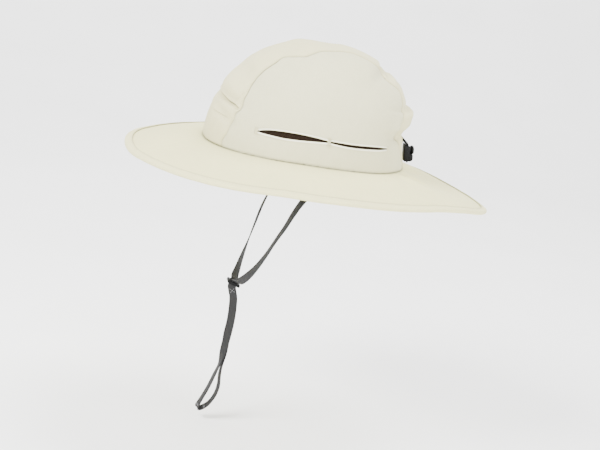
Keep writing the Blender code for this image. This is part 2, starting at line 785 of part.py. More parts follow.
def make_chin_strap(material, collection):
    left = strap_seam_stops() + strap_cheek_stops() + strap_slider_stops()
    right = [stop._replace(x=-stop.x, across_x=-stop.across_x) for stop in left]
    tail = strap_tail_stops(STRAP_TAIL_LEFT) + strap_tail_stops(STRAP_TAIL_RIGHT)[::-1]
    stops = left + tail + right[::-1]
    route = smooth_route(stops, STRAP_STEP)

    def place(row, column):
        point, across = route[row]
        ahead = route[min(row + 1, len(route) - 1)][0] - route[max(row - 1, 0)][0]
        across = (across - ahead * (across.dot(ahead) / ahead.dot(ahead))).normalized()
        return point + across * STRAP_WIDTH * (column - 0.5)

    sheet(
        "chin_strap", len(route) - 1, 1, place, material, collection,
        thickness=STRAP_WALL, offset=0.0,
    )


def box(name, size, middle, collection, material=None):
    """A box about a point of its parent's frame."""
    mesh = bmesh.new()
    bmesh.ops.create_cube(mesh, size=1.0, matrix=Matrix.Diagonal((*size, 1.0)))
    bmesh.ops.translate(mesh, verts=mesh.verts, vec=middle)
    data = bpy.data.meshes.new(name)
    mesh.to_mesh(data)
    mesh.free()
    thing = bpy.data.objects.new(name, data)
    collection.objects.link(thing)
    if material:
        data.materials.append(material)
    return thing


def rod(name, radius, start, end, collection, material=None):
    """A cylinder along its frame's Y axis, from one place on it to another."""
    mesh = bmesh.new()
    turn = Matrix.Rotation(math.radians(90), 4, "X")
    bmesh.ops.create_cone(
        mesh, cap_ends=True, segments=ROUND_SIDES, radius1=radius, radius2=radius,
        depth=end - start, matrix=turn,
    )
    bmesh.ops.translate(mesh, verts=mesh.verts, vec=(0, (start + end) / 2, 0))
    data = bpy.data.meshes.new(name)
    mesh.to_mesh(data)
    mesh.free()
    thing = bpy.data.objects.new(name, data)
    collection.objects.link(thing)
    if material:
        data.materials.append(material)
    return thing


def carve(thing, other, operation):
    """Cuts the other shape from an object, or joins it to it, and hides the other shape."""
    boolean = thing.modifiers.new(operation.lower(), "BOOLEAN")
    boolean.operation = operation
    boolean.solver = "EXACT"
    boolean.object = other
    other.hide_render = True
    other.display_type = "WIRE"


def round_edges(thing, width, segments):
    bevel = thing.modifiers.new("rounded", "BEVEL")
    bevel.width = width
    bevel.segments = segments
    bevel.limit_method = "ANGLE"
    bevel.angle_limit = math.radians(40)


def slider_frame():
    middle = Matrix.Translation((0, -SLIDER_FORWARD, -STRAP_DROP))
    return middle @ Matrix.Rotation(math.radians(-SLIDER_TILT), 4, "X")


def make_slider(material, collection, cutters):
    size = (SLIDER_WIDTH, SLIDER_LENGTH, SLIDER_THICKNESS)
    plate = box("strap_slider", size, (0, 0, 0), collection, material)
    round_edges(plate, SLIDER_BEVEL, 2)
    slot = (
        STRAP_WALL + 2 * SLIDER_SLOT_ROOM,
        STRAP_WIDTH + 2 * SLIDER_SLOT_ROOM,
        2 * SLIDER_THICKNESS,
    )
    frame = slider_frame()
    plate.matrix_world = frame
    for side in (-1, 1):
        cutter = box("slot_cutter", slot, (side * SLIDER_SLOT_PLACE, 0, 0), cutters)
        cutter.matrix_world = frame
        carve(plate, cutter, "DIFFERENCE")


def lock_frame():
    """The lock's own frame: from its foot behind the crown, Y outwards, Z up the lock."""
    wall = crown_point(crown_way(180, LOCK_FOOT_HEIGHT))
    foot = Vector((0, wall.y + LOCK_STANDOFF, LOCK_FOOT_HEIGHT))
    return Matrix.Translation(foot) @ Matrix.Rotation(math.radians(LOCK_LEAN), 4, "X")


def cord_depth():
    """How far out from the lock's back the cord runs through it."""
    slot_start = LOCK_FLOOR + CLEARANCE + PLUNGER_TRAVEL + PLUNGER_END_WALL
    return slot_start + CLEARANCE + CORD_DIAMETER / 2


def make_cord_lock(material, collection, cutters):
    """The lock's housing: a block with a ledge, bored for the plunger and slotted for the cord."""
    frame = lock_frame()
    outline = [
        (0, 0),
        (LOCK_LEDGE_DEPTH, 0),
        (LOCK_LEDGE_DEPTH, LOCK_LEDGE_HEIGHT - LOCK_LEDGE_ROUND),
        (LOCK_DEPTH + 0.8 * LOCK_LEDGE_ROUND, LOCK_LEDGE_HEIGHT),
        (LOCK_DEPTH, LOCK_LEDGE_HEIGHT + 0.4 * LOCK_LEDGE_ROUND),
        (LOCK_DEPTH, LOCK_HEIGHT),
        (0, LOCK_HEIGHT),
    ]
    mesh = bmesh.new()
    corners = [mesh.verts.new((-LOCK_WIDTH / 2, out, up)) for out, up in outline]
    face = mesh.faces.new(corners)
    grown = bmesh.ops.extrude_face_region(mesh, geom=[face])
    moved = [item for item in grown["geom"] if isinstance(item, bmesh.types.BMVert)]
    bmesh.ops.translate(mesh, verts=moved, vec=(LOCK_WIDTH, 0, 0))
    bmesh.ops.recalc_face_normals(mesh, faces=mesh.faces)
    data = bpy.data.meshes.new("cord_lock")
    mesh.to_mesh(data)
    mesh.free()
    housing = add_object("cord_lock", data, material, collection)
    housing.matrix_world = frame
    round_edges(housing, LOCK_BEVEL, 2)
    bore = rod(
        "bore_cutter", PLUNGER_RADIUS + CLEARANCE, LOCK_FLOOR, 2 * LOCK_DEPTH, cutters
    )
    bore.matrix_world = frame @ Matrix.Translation((0, 0, PLUNGER_HEIGHT))
    carve(housing, bore, "DIFFERENCE")
    room = CORD_DIAMETER + 2 * CLEARANCE
    slot = box(
        "cord_cutter", (CORD_SPACING + room, room, 4 * LOCK_HEIGHT), (0, cord_depth(), 0), cutters
    )
    slot.matrix_world = frame
    carve(housing, slot, "DIFFERENCE")


def make_plunger(material, collection, cutters):
    """The plunger: a stem with a slot for the cord, long enough for its travel, and a head."""
    frame = lock_frame() @ Matrix.Translation((0, 0, PLUNGER_HEIGHT))
    stem_end = LOCK_FLOOR + CLEARANCE + PLUNGER_TRAVEL
    head_start = LOCK_DEPTH + CLEARANCE + PLUNGER_TRAVEL
    head = rod(
        "lock_plunger", PLUNGER_HEAD_RADIUS, head_start, head_start + PLUNGER_HEAD_DEPTH,
        collection, material,
    )
    head.matrix_world = frame
    round_edges(head, PLUNGER_HEAD_DEPTH / 3, 2)
    stem = rod("stem_joiner", PLUNGER_RADIUS, stem_end, head_start + PLUNGER_HEAD_DEPTH / 2, cutters)
    stem.matrix_world = frame
    carve(head, stem, "UNION")
    width = CORD_SPACING + CORD_DIAMETER + 2 * CLEARANCE
    length = CORD_DIAMETER + PLUNGER_TRAVEL + 2 * CLEARANCE
    middle = stem_end + PLUNGER_END_WALL + length / 2
    slot = box("stem_cutter", (width, length, 4 * PLUNGER_RADIUS), (0, middle, 0), cutters)
    slot.matrix_world = frame
    carve(head, slot, "DIFFERENCE")


def drawcord_stops():
    """Route of the left strand: out of the crown, down through the lock and round its foot."""
    wall = crown_point(crown_way(CORD_EXIT_TURN, CORD_EXIT_HEIGHT))
    start = wall + Vector((0, CLEARANCE + CORD_DIAMETER / 2, 0))
    frame = lock_frame()
    inside = CORD_SPACING / 2
    depth = cord_depth()
    over_lock = LOCK_HEIGHT + CORD_DIAMETER
    above = frame @ Vector((inside + CORD_DIAMETER / 2, depth - CORD_DIAMETER / 2, over_lock))
    top = frame @ Vector((inside, depth, LOCK_HEIGHT))
    middle = frame @ Vector((inside, depth, LOCK_HEIGHT / 2))
    foot = frame @ Vector((inside, depth, 0))
    return [start, start.lerp(above, 0.5), above, top, middle, foot]


def make_drawcord(material, collection):
    left = [Stop(*point, 0, 0, 0) for point in drawcord_stops()]
    strand = [point for point, _ in smooth_route(left, CORD_STEP)]
    foot = lock_frame() @ Vector((0, cord_depth(), 0))
    down = lock_frame().to_3x3() @ Vector((0, 0, -1))
    turn = []
    for part in range(1, CORD_TURN_PARTS):
        angle = math.pi * part / CORD_TURN_PARTS
        aside = Vector((math.cos(angle), 0, 0))
        turn.append(foot + (aside + down * math.sin(angle)) * CORD_SPACING / 2)
    route = strand + turn + [mirrored(point, -1) for point in reversed(strand)]
    curve = bpy.data.curves.new("drawcord", "CURVE")
    curve.dimensions = "3D"
    curve.bevel_depth = CORD_DIAMETER / 2
    curve.bevel_resolution = 2
    curve.use_fill_caps = True
    spline = curve.splines.new("POLY")
    spline.points.add(len(route) - 1)
    for target, point in zip(spline.points, route):
        target.co = (*point, 1.0)
    cord = bpy.data.objects.new("drawcord", curve)
    curve.materials.append(material)
    collection.objects.link(cord)


def main():
    clear_scene()
    parts = collection_named(OBJECT_NAME)
    cutters = collection_named("cutters")
    ivory = make_material("ivory_cloth", (0.80, 0.79, 0.68), 0.85)
    side_cloth = make_material("side_cloth", (0.72, 0.72, 0.62), 0.85)
    dark_net = make_material("dark_net", (0.03, 0.02, 0.015), 0.8)
    grey_tape = make_material("grey_tape", (0.12, 0.12, 0.115), 0.8)
    black_plastic = make_material("black_plastic", (0.012, 0.012, 0.012), 0.45)
    black_cord = make_material("black_cord", (0.015, 0.015, 0.015), 0.8)

    make_centre_panel(ivory, parts)
    ways = side_panel_ways()
    for side, hand in ((1, "left"), (-1, "right")):
        make_side_panel(side, "side_panel_" + hand, ways, side_cloth, parts)
        make_vent_mesh(side, "vent_mesh_" + hand, dark_net, parts)
    make_brim(ivory, parts)
    make_binding(ivory, parts)
    make_chin_strap(grey_tape, parts)
    make_slider(black_plastic, parts, cutters)
    make_cord_lock(black_plastic, parts, cutters)
    make_plunger(black_plastic, parts, cutters)
    make_drawcord(black_cord, parts)


main()
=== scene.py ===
"""Looks of the sun hat: its cloth, net, tape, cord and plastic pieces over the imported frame.

Metres, in the frame's own axes: -Y is the front, +X the wearer's left, +Z up.
"""

import json
import math
from bisect import bisect_right
from collections import namedtuple
from functools import lru_cache

import bmesh
import bpy
from mathutils import Matrix, Vector, noise
from mathutils.kdtree import KDTree

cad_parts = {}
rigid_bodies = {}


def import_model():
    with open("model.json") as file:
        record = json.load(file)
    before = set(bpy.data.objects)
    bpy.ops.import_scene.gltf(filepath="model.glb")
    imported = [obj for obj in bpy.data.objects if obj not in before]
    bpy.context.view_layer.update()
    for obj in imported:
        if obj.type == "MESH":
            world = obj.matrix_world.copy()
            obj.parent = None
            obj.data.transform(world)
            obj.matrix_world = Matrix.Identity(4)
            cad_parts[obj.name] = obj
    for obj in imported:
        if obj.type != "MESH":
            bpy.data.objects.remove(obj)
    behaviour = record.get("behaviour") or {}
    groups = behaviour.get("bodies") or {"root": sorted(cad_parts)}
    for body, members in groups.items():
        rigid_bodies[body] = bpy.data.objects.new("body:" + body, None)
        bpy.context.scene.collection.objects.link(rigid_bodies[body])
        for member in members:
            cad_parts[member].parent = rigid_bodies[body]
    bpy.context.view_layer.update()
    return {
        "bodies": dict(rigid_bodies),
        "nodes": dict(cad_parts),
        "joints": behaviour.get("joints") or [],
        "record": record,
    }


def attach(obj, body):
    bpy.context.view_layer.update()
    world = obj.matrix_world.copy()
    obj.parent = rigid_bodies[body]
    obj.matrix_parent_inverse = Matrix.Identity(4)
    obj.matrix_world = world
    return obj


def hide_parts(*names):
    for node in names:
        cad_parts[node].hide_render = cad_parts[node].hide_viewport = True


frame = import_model()

# ---------------------------------------------------------------- sizes

# Gaps
CLEARANCE = 0.0003
PANEL_GAP = -0.0008  # the side panels reach under the centre panel's edge
BRIM_SEAM_GAP = 0.0004

# Crown: a dome whose plan is a superellipse and whose profile is squarer at the back
CROWN_HALF_WIDTH = 0.081
CROWN_HALF_LENGTH = 0.102
CROWN_HEIGHT = 0.1092
CROWN_WALL = 0.0013
CROWN_PLAN_POWER = 2.1
CROWN_FRONT_POWER = 2.1
CROWN_BACK_POWER = 2.71
SEAM_RISE = 0.0034  # how far the brim seam climbs over the ears

# Centre panel: half its width along the way from the front seam over the top to the back,
# as its edge runs over the folds
PanelWidth = namedtuple("PanelWidth", "over share")  # degrees, share of CROWN_HALF_WIDTH
CENTRE_PANEL_WIDTHS = [PanelWidth(*row) for row in (
    (0, 0.545), (3.7, 0.540), (9.5, 0.577), (16, 0.580), (20.3, 0.596), (23.4, 0.584),
    (25.6, 0.594), (27.4, 0.604), (30, 0.594), (34, 0.577), (38.3, 0.560), (43.2, 0.520),
    (50, 0.487), (60, 0.443), (66, 0.396), (71, 0.425), (76, 0.440), (82, 0.405), (90, 0.325),
    (98, 0.270), (108.7, 0.268), (114.5, 0.296), (118.6, 0.285), (121, 0.275), (123.4, 0.318),
    (126, 0.376), (130.2, 0.372), (134, 0.347), (137.6, 0.363), (142.6, 0.425), (148, 0.515),
    (153.3, 0.585), (160, 0.490), (167.5, 0.385), (173.7, 0.330), (180, 0.300),
)]

# Dents and folds of the crown. over runs from the front seam (0) over the top to the back
# (180), and side from the middle (0) to the ear (90). along and across are half sizes, turn
# is the angle of the long side from the over direction, all in degrees. depth is a share of
# CROWN_HEIGHT, and a bump has a negative one.
Dent = namedtuple("Dent", "over side along across turn depth")
CROWN_DENTS = [Dent(*row) for row in (
    (27, 2, 3.0, 11, 0, 0.026), (28, 16, 2.6, 13, -8, 0.034), (33, 10, 5.0, 16, 0, -0.016),
    (19, 17, 2.6, 13, 10, 0.020), (45, 5, 4.0, 13, 0, 0.016), (53, 12, 6.0, 12, 0, -0.010),
    (79, 19, 5.0, 7, 0, 0.018), (70, -17, 6.0, 8, 0, 0.022), (73, 8, 5.5, 7, 0, 0.018),
    (77, 0, 5.0, 22, 0, -0.011), (94, 0, 5.5, 22, 0, 0.017), (122, 14, 3.4, 15, 12, 0.029),
    (121, -12, 3.6, 13, -10, 0.024), (126.5, 5, 4.8, 18, 0, 0.030), (70, 33, 10, 9, 30, 0.024),
    (112, 36, 12, 10, -20, 0.014), (152, 40, 7, 5.0, 0, 0.016), (66, -34, 10, 10, -30, 0.018),
    (108, -38, 12, 10, 20, 0.016),
)]

# Back of the crown, drawn in by the cord: how far the wall moves in or out at each height
BackFold = namedtuple("BackFold", "height push")  # shares of CROWN_HEIGHT and of CINCH_DEPTH
CINCH_DEPTH = 0.0069
BACK_FOLDS = [BackFold(*row) for row in (
    (0.00, -0.20), (0.045, -0.28), (0.09, -0.45), (0.16, -0.66), (0.23, -0.86), (0.29, -1.06),
    (0.325, -1.2), (0.365, -0.76), (0.40, 0.0), (0.46, 0.52), (0.495, 0.78), (0.53, 0.28),
    (0.553, -0.24), (0.61, 0.0), (1.0, 0.0),
)]
CINCH_FULL_ANGLE = 20  # degrees each side of the back over which the cord draws the wall in
CINCH_END_ANGLE = 50
PUFF_FULL_ANGLE = 12  # the same for the bulge above the cord
PUFF_END_ANGLE = 34
GATHER_DEPTH = 0.0011
GATHER_PITCH = 9.0  # degrees from fold to fold
GATHER_HEIGHT = 0.30  # where the gathers are deepest, as a share of CROWN_HEIGHT
GATHER_REACH = 0.16  # half the height that they take, as such a share

# Vents: a slit in each side panel, in two lengths with a sewn bar between them
VENT_FRONT = 48.5  # degrees round from the front
VENT_BAR_START = 95.2
VENT_BAR_END = 97.2
VENT_BACK = 140.6
VENT_HEIGHT = 0.0283
VENT_OPENING = 0.0052
VentPlace = namedtuple("VentPlace", "turn height opening")  # shares of the two sizes above
# The slits as worn: the front one gapes, the rear one stands open a little
VENT_PLACES = [VentPlace(*row) for row in (
    (48.5, 0.915, 0.20), (52, 0.935, 0.55), (57, 0.96, 0.90), (66, 0.98, 1.16), (76, 1.00, 1.08),
    (86, 1.01, 0.74), (95.2, 1.00, 0.32), (97.2, 1.00, 0.30), (104, 0.975, 0.46),
    (112, 0.95, 0.52), (124, 0.94, 0.52), (133, 0.93, 0.46), (140.6, 0.925, 0.22),
)]
MESH_WALL = 0.0010
MESH_MARGIN = 0.0075  # how far the mesh reaches past the slit, up and down
MESH_END_MARGIN = 5.0  # and in degrees past its ends
MESH_START, MESH_END = VENT_FRONT - MESH_END_MARGIN, VENT_BACK + MESH_END_MARGIN
MESH_REACH = VENT_OPENING / 2 + MESH_MARGIN
NET_CELL = 0.00078  # half the width of the net's holes from corner to corner
NET_RADIUS = 0.0895  # of the crown where the net runs round it

# Brim: its width from the crown to the edge, and how far the edge hangs below the seam
BRIM_FRONT_WIDTH = 0.075
BRIM_BACK_WIDTH = 0.097
BRIM_SIDE_WIDTH = 0.0665  # narrower than the frame's 0.071, after the photo
BRIM_WALL = 0.0020
BRIM_FRONT_POWER = 2.19
BRIM_BACK_POWER = 1.54
BRIM_POWER_START = 72  # degrees round, where the front's power starts to give way
BRIM_POWER_END = 110
BRIM_DROP = 0.0342
BRIM_CURVE = 0.30  # 0 is a straight slope from the crown to the edge
BrimDrop = namedtuple("BrimDrop", "turn share")  # degrees round from the front
BRIM_DROPS = [BrimDrop(*row) for row in (
    (0, 0.545), (45, 0.545), (90, 0.392), (135, 0.617), (180, 1.0),
)]
# Soft waves of the brim: reach is the share of the way from the crown to the edge, and depth
# is a share of BRIM_DROP
BrimWave = namedtuple("BrimWave", "turn reach width length depth")
BRIM_WAVES = [BrimWave(*row) for row in (
    (160, 0.18, 8, 0.22, 0.055), (152, 0.34, 6, 0.25, -0.035), (168, 0.45, 9, 0.30, 0.030),
    (-158, 0.20, 9, 0.24, 0.050), (120, 0.60, 16, 0.40, 0.025), (-120, 0.55, 16, 0.40, 0.025),
    (20, 0.50, 14, 0.35, 0.022), (-35, 0.50, 14, 0.35, 0.022),
)]
BINDING_WIDTH = 0.0081  # narrower than the frame's 0.009
BINDING_WALL = 0.0009
BINDING_STITCH_EDGE = 0.0014  # from the binding's inner edge to its stitches

# Chin strap: a flat tape, sewn in over each ear, through the slider under the chin and down
# to a fold at its end. A stop is a place on its middle line and the way its width runs there.
STRAP_WIDTH = 0.008
STRAP_WALL = 0.0012
STRAP_DROP = 0.1476  # from the origin down to the slider
STRAP_TAIL = 0.1410  # from the slider down to the fold
STRAP_SEAM_TURN = 97  # degrees round from the front to where it is sewn in
STRAP_SEAM_HEIGHTS = [0.0110, 0.0035]
Stop = namedtuple("Stop", "x y z across_x across_y across_z")
# x, y and z are shares of CROWN_HALF_WIDTH, CROWN_HALF_LENGTH and STRAP_DROP
STRAP_CHEEK = [Stop(*row) for row in (
    (0.948, 0.080, -0.041, 0.15, 0.98, -0.10), (0.936, 0.029, -0.136, 0.60, 0.75, -0.25),
    (0.914, -0.051, -0.238, 0.91, 0.31, -0.28), (0.883, -0.108, -0.334, 0.94, 0.20, -0.26),
    (0.846, -0.151, -0.425, 0.95, 0.06, -0.30), (0.772, -0.213, -0.544, 0.94, -0.07, -0.35),
    (0.679, -0.261, -0.657, 0.89, -0.05, -0.46), (0.543, -0.317, -0.779, 0.79, 0.12, -0.60),
    (0.395, -0.368, -0.874, 0.60, 0.45, -0.66), (0.235, -0.410, -0.943, 0.33, 0.75, -0.57),
)]
# From the slider's middle: x is a share of STRAP_WIDTH, y and z are shares of STRAP_TAIL
STRAP_TAIL_LEFT = [Stop(*row) for row in (
    (0.300, -0.005, -0.038, 0.05, 0.96, -0.25), (0.200, 0.018, -0.109, 0.20, 0.97, 0.05),
    (0.200, 0.028, -0.201, 0.28, 0.95, 0.05), (0.200, 0.030, -0.301, 0.31, 0.95, 0.0),
    (0.225, 0.023, -0.414, 0.39, 0.92, 0.0), (0.212, 0.012, -0.528, 0.72, 0.69, 0.0),
    (0.075, 0.001, -0.645, 1.00, 0.05, 0.0), (0.037, -0.020, -0.726, 0.99, 0.12, 0.0),
    (0.025, -0.048, -0.826, 0.99, 0.14, 0.0), (0.025, -0.080, -0.914, 0.99, 0.14, -0.05),
    (0.0, -0.101, -0.971, 0.95, 0.25, -0.10), (0.0, -0.104, -0.986, 0.90, 0.35, -0.20),
    (0.0, -0.099, -0.999, 0.90, 0.35, -0.20),
)]
STRAP_TAIL_RIGHT = [Stop(*row) for row in (
    (-0.300, -0.005, -0.038, 0.05, 0.96, -0.25), (-0.200, 0.018, -0.109, 0.20, 0.97, 0.05),
    (-0.200, 0.028, -0.201, 0.28, 0.95, 0.05), (-0.200, 0.030, -0.301, 0.31, 0.95, 0.0),
    (-0.200, 0.023, -0.414, 0.39, 0.92, 0.0), (-0.125, 0.025, -0.528, 0.72, 0.69, 0.0),
    (-0.050, 0.023, -0.645, 1.00, 0.07, 0.0), (-0.025, 0.020, -0.719, 0.98, 0.18, 0.0),
    (0.0, 0.025, -0.804, 0.98, 0.20, 0.0), (0.0, 0.013, -0.876, 0.99, 0.14, 0.0),
    (0.0, -0.023, -0.950, 0.99, 0.10, -0.05), (0.0, -0.067, -0.991, 0.95, 0.25, -0.10),
)]

# Slider on the strap: a plate with two slots, tilted with its long side towards the chin
SLIDER_LENGTH = 0.0138
SLIDER_WIDTH = 0.0116
SLIDER_THICKNESS = 0.0030
SLIDER_FORWARD = 0.0460  # of its middle, from the origin
SLIDER_TILT = 20.4  # degrees
SLIDER_SLOT_PLACE = 0.0027  # from the middle to each slot
SLIDER_SLOT_ROOM = 0.0006  # free room on each side of the tape
SLIDER_BEVEL = 0.0008

# Drawcord and its lock at the back. Lock sizes are seen from the side: out from the crown
# and up. The plunger slides on an axis across the cord.
CORD_DIAMETER = 0.0020
CORD_SPACING = 0.0026  # between the two strands inside the lock
CORD_EXIT_HEIGHT = 0.0285
CORD_EXIT_TURN = 175  # degrees round from the front
CORD_STEP = 0.0024
CORD_TURN_PARTS = 6  # steps of the turn below the lock
LOCK_FOOT_HEIGHT = 0.0044
LOCK_STANDOFF = 0.0017  # from the crown to the lock, which hangs loose on its cord
LOCK_LEAN = 8.0  # degrees, its top towards the crown
LOCK_WIDTH = 0.0110
LOCK_HEIGHT = 0.0150
LOCK_DEPTH = 0.0068
LOCK_LEDGE_DEPTH = 0.0092
LOCK_LEDGE_ROUND = 0.0010
LOCK_BEVEL = 0.0009
LOCK_FLOOR = 0.0009
PLUNGER_TRAVEL = 0.0012
PLUNGER_HEIGHT = 0.0108  # of its axis above the lock's foot
PLUNGER_RADIUS = 0.0031
PLUNGER_END_WALL = 0.0006
PLUNGER_HEAD_RADIUS = 0.0046
PLUNGER_HEAD_DEPTH = 0.0022
LOCK_CHEEK_DEPTH = 0.00575  # the housing's depth round its boss
LEDGE_SIDE_HEIGHT = 0.0071  # the ledge's two sides, which stand up round the button
BOSS_RADIUS = 0.0040
RIM_LENGTH = 0.0013  # how far the button's rim reaches back round the boss
HEAD_EXTRA = 0.0001  # how much the ribs add to the button's radius

UPPER_FRONT_CORNER = 46  # degrees over, where the side panel's front edge meets its top edge
UPPER_BACK_CORNER = 137  # and its top edge the back edge

# Counts of faces
# Rows of the centre panel, closer together over its creases: degrees to, and how many rows
CENTRE_ROW_SPANS = [(14, 18), (31, 104), (42, 34), (117, 96), (136, 66), (180, 60)]
CENTRE_COLUMNS = 84
LOWER_ROWS = 20  # of the side panels, below the slits
UPPER_ROWS = 62
VENT_SPANS = [14, 60, 4, 60, 16]  # columns before, along, between, along and after the slits
BRIM_COLUMNS = 480
BRIM_ROWS = 60
BINDING_COLUMNS = 600
SEAM_STEPS = 720  # places along the seams at which their stitches' lines are worked out



# ---------------------------------------------------------------- forms of the frame

def smooth_value(rows, place, field):
    """A field of a table at a place, on a smooth curve through the table's rows."""
    places = [row[0] for row in rows]
    values = [getattr(row, field) for row in rows]
    if place <= places[0]:
        return values[0]
    if place >= places[-1]:
        return values[-1]
    low = bisect_right(places, place) - 1

    def slope(index):
        if index in (0, len(rows) - 1):
            return 0.0
        return (values[index + 1] - values[index - 1]) / (places[index + 1] - places[index - 1])

    span = places[low + 1] - places[low]
    t = (place - places[low]) / span
    start = (1 + 2 * t) * (1 - t) ** 2 * values[low] + t * (1 - t) ** 2 * span * slope(low)
    end = t * t * (3 - 2 * t) * values[low + 1] - t * t * (1 - t) * span * slope(low + 1)
    return start + end


def smooth_step(share):
    share = min(max(share, 0.0), 1.0)
    return share * share * (3 - 2 * share)


def superellipse(turn, half_width, half_length, power):
    """A point of the outline at an angle in degrees, 0 at the front and 90 at the left."""
    across, along = math.sin(math.radians(turn)), math.cos(math.radians(turn))
    x = half_width * math.copysign(abs(across) ** (2 / power), across)
    y = -half_length * math.copysign(abs(along) ** (2 / power), along)
    return x, y


def direction(over, side):
    over, side = math.radians(over), math.radians(side)
    flat = math.cos(side)
    return Vector((math.sin(side), -flat * math.cos(over), flat * math.sin(over)))


def round_direction(turn, rise):
    turn, rise = math.radians(turn), math.radians(rise)
    flat = math.cos(rise)
    return Vector((flat * math.sin(turn), -flat * math.cos(turn), math.sin(rise)))


def turn_of(point):
    return math.degrees(math.atan2(point.x, -point.y))


def smooth_radius(way):
    """Distance from the origin to the crown without its folds, along a unit vector."""
    plan = (
        abs(way.x / CROWN_HALF_WIDTH) ** CROWN_PLAN_POWER
        + abs(way.y / CROWN_HALF_LENGTH) ** CROWN_PLAN_POWER
    ) ** (1 / CROWN_PLAN_POWER)
    level = math.hypot(way.x, way.y)
    backness = 0.5 + 0.5 * way.y / level if level > 1e-9 else 0.5
    power = CROWN_FRONT_POWER + (CROWN_BACK_POWER - CROWN_FRONT_POWER) * backness
    return (plan**power + abs(way.z / CROWN_HEIGHT) ** power) ** (-1 / power)


def dent_push(way):
    """How far the dents and folds move the wall along a unit vector, outwards positive."""
    over = math.degrees(math.atan2(way.z, -way.y))
    side = math.degrees(math.asin(max(-1.0, min(1.0, way.x))))
    push = 0.0
    for dent in CROWN_DENTS:
        ahead = (over - dent.over) * math.cos(math.radians(side))
        aside = side - dent.side
        turn = math.radians(dent.turn)
        along = ahead * math.cos(turn) + aside * math.sin(turn)
        across = aside * math.cos(turn) - ahead * math.sin(turn)
        distance = (along / dent.along) ** 2 + (across / dent.across) ** 2
        push -= CROWN_HEIGHT * dent.depth * math.exp(-distance)
    return push


def back_push(way, radius):
    """How far the drawcord moves the back wall in, and the bulge above it out."""
    height = way.z * radius / CROWN_HEIGHT
    from_back = 180 - abs(turn_of(way))
    push = CINCH_DEPTH * smooth_value(BACK_FOLDS, height, "push")
    full, end = CINCH_FULL_ANGLE, CINCH_END_ANGLE
    if push > 0:
        full, end = PUFF_FULL_ANGLE, PUFF_END_ANGLE
    push *= 1 - smooth_step((from_back - full) / (end - full))
    gather_band = math.exp(-(((height - GATHER_HEIGHT) / GATHER_REACH) ** 2))
    gather_band *= 1 - smooth_step(from_back / CINCH_END_ANGLE)
    gather_band *= smooth_step(height / GATHER_HEIGHT)
    return push - GATHER_DEPTH * gather_band * math.cos(2 * math.pi * from_back / GATHER_PITCH)


def seam_height(point):
    """Height of the brim seam at the side where the point is."""
    return SEAM_RISE * point.x**2 / max(point.x**2 + point.y**2, 1e-12)


def crown_point(way, inset=0.0):
    """A point of the crown's outer face along a direction, or of a face inside it."""
    way = way.normalized()
    radius = smooth_radius(way)
    point = way * (radius + dent_push(way) + back_push(way, radius) - inset)
    point.z += seam_height(point) * (1 - point.z / CROWN_HEIGHT)
    return point


def middle_of(low, high, too_high):
    """The value between low and high where the test turns true."""
    for _ in range(24):
        middle = (low + high) / 2
        if too_high(middle):
            high = middle
        else:
            low = middle
    return (low + high) / 2


def height_of(way):
    """The height of the crown without its folds, along a unit vector."""
    point = way * smooth_radius(way)
    return point.z + seam_height(point) * (1 - point.z / CROWN_HEIGHT)


def crown_way(turn, height):
    """The direction, at an angle round from the front, in which the crown has a height."""
    if height <= SEAM_RISE * math.sin(math.radians(turn)) ** 2:
        return round_direction(turn, 0.0)
    rise = middle_of(0, 60, lambda rise: height_of(round_direction(turn, rise)) > height)
    return round_direction(turn, rise)


def panel_seam_way(over, gap):
    """A direction on the left edge of the centre panel, a gap further out."""
    reach = CROWN_HALF_WIDTH * smooth_value(CENTRE_PANEL_WIDTHS, over, "share") + gap
    side = 30.0
    for _ in range(12):
        side = math.degrees(math.asin(reach / smooth_radius(direction(over, side))))
    return direction(over, side)


def panel_seam_over(height, at_back):
    """Where the centre panel's edge has a height, as degrees over from the front."""

    def too_high(climb):
        way = panel_seam_way(180 - climb if at_back else climb, PANEL_GAP)
        return height_of(way) > height

    climb = middle_of(0, 40, too_high)
    return 180 - climb if at_back else climb


def vent_height(turn):
    """Height of the middle of the vent slit."""
    return VENT_HEIGHT * smooth_value(VENT_PLACES, turn, "height")


def vent_lip(turn, side_of_slit):
    """Height of a lip of the vent slit: side_of_slit is -1 for the lower, 1 for the upper."""
    opening = VENT_OPENING * smooth_value(VENT_PLACES, turn, "opening")
    return vent_height(turn) + side_of_slit * opening / 2


def spread(ends, counts):
    """Places from the first end to the last, with so many equal steps between each two."""
    places = [ends[0]]
    for low, high, count in zip(ends, ends[1:], counts):
        places += [low + (high - low) * step / count for step in range(1, count + 1)]
    return places


def side_panel_layout():
    """The side panel's columns as angles round the hat, and as shares of its length."""
    height = VENT_HEIGHT
    front = turn_of(panel_seam_way(panel_seam_over(height, False), PANEL_GAP))
    back = turn_of(panel_seam_way(panel_seam_over(height, True), PANEL_GAP))
    turns = spread(
        [front, VENT_FRONT, VENT_BAR_START, VENT_BAR_END, VENT_BACK, back], VENT_SPANS
    )
    return turns, [(turn - front) / (back - front) for turn in turns]


def side_panel_edges(turns, shares):
    """Places on the centre panel's edge, in degrees over, where the side panel's front edge,
    top edge and back edge have their points."""
    edges = []
    for turn, corner, at_back in (
        (turns[0], UPPER_FRONT_CORNER, False),
        (turns[-1], UPPER_BACK_CORNER, True),
    ):
        lower = vent_lip(turn, -1)
        heights = [lower * row / LOWER_ROWS for row in range(LOWER_ROWS + 1)]
        heights.append(vent_lip(turn, 1))
        overs = [panel_seam_over(height, at_back) for height in heights]
        edges.append(spread([*overs, corner], [1] * (len(overs) - 1) + [UPPER_ROWS]))
    front, back = edges
    top = [front[-1] + (back[-1] - front[-1]) * share for share in shares]
    return front, top, back


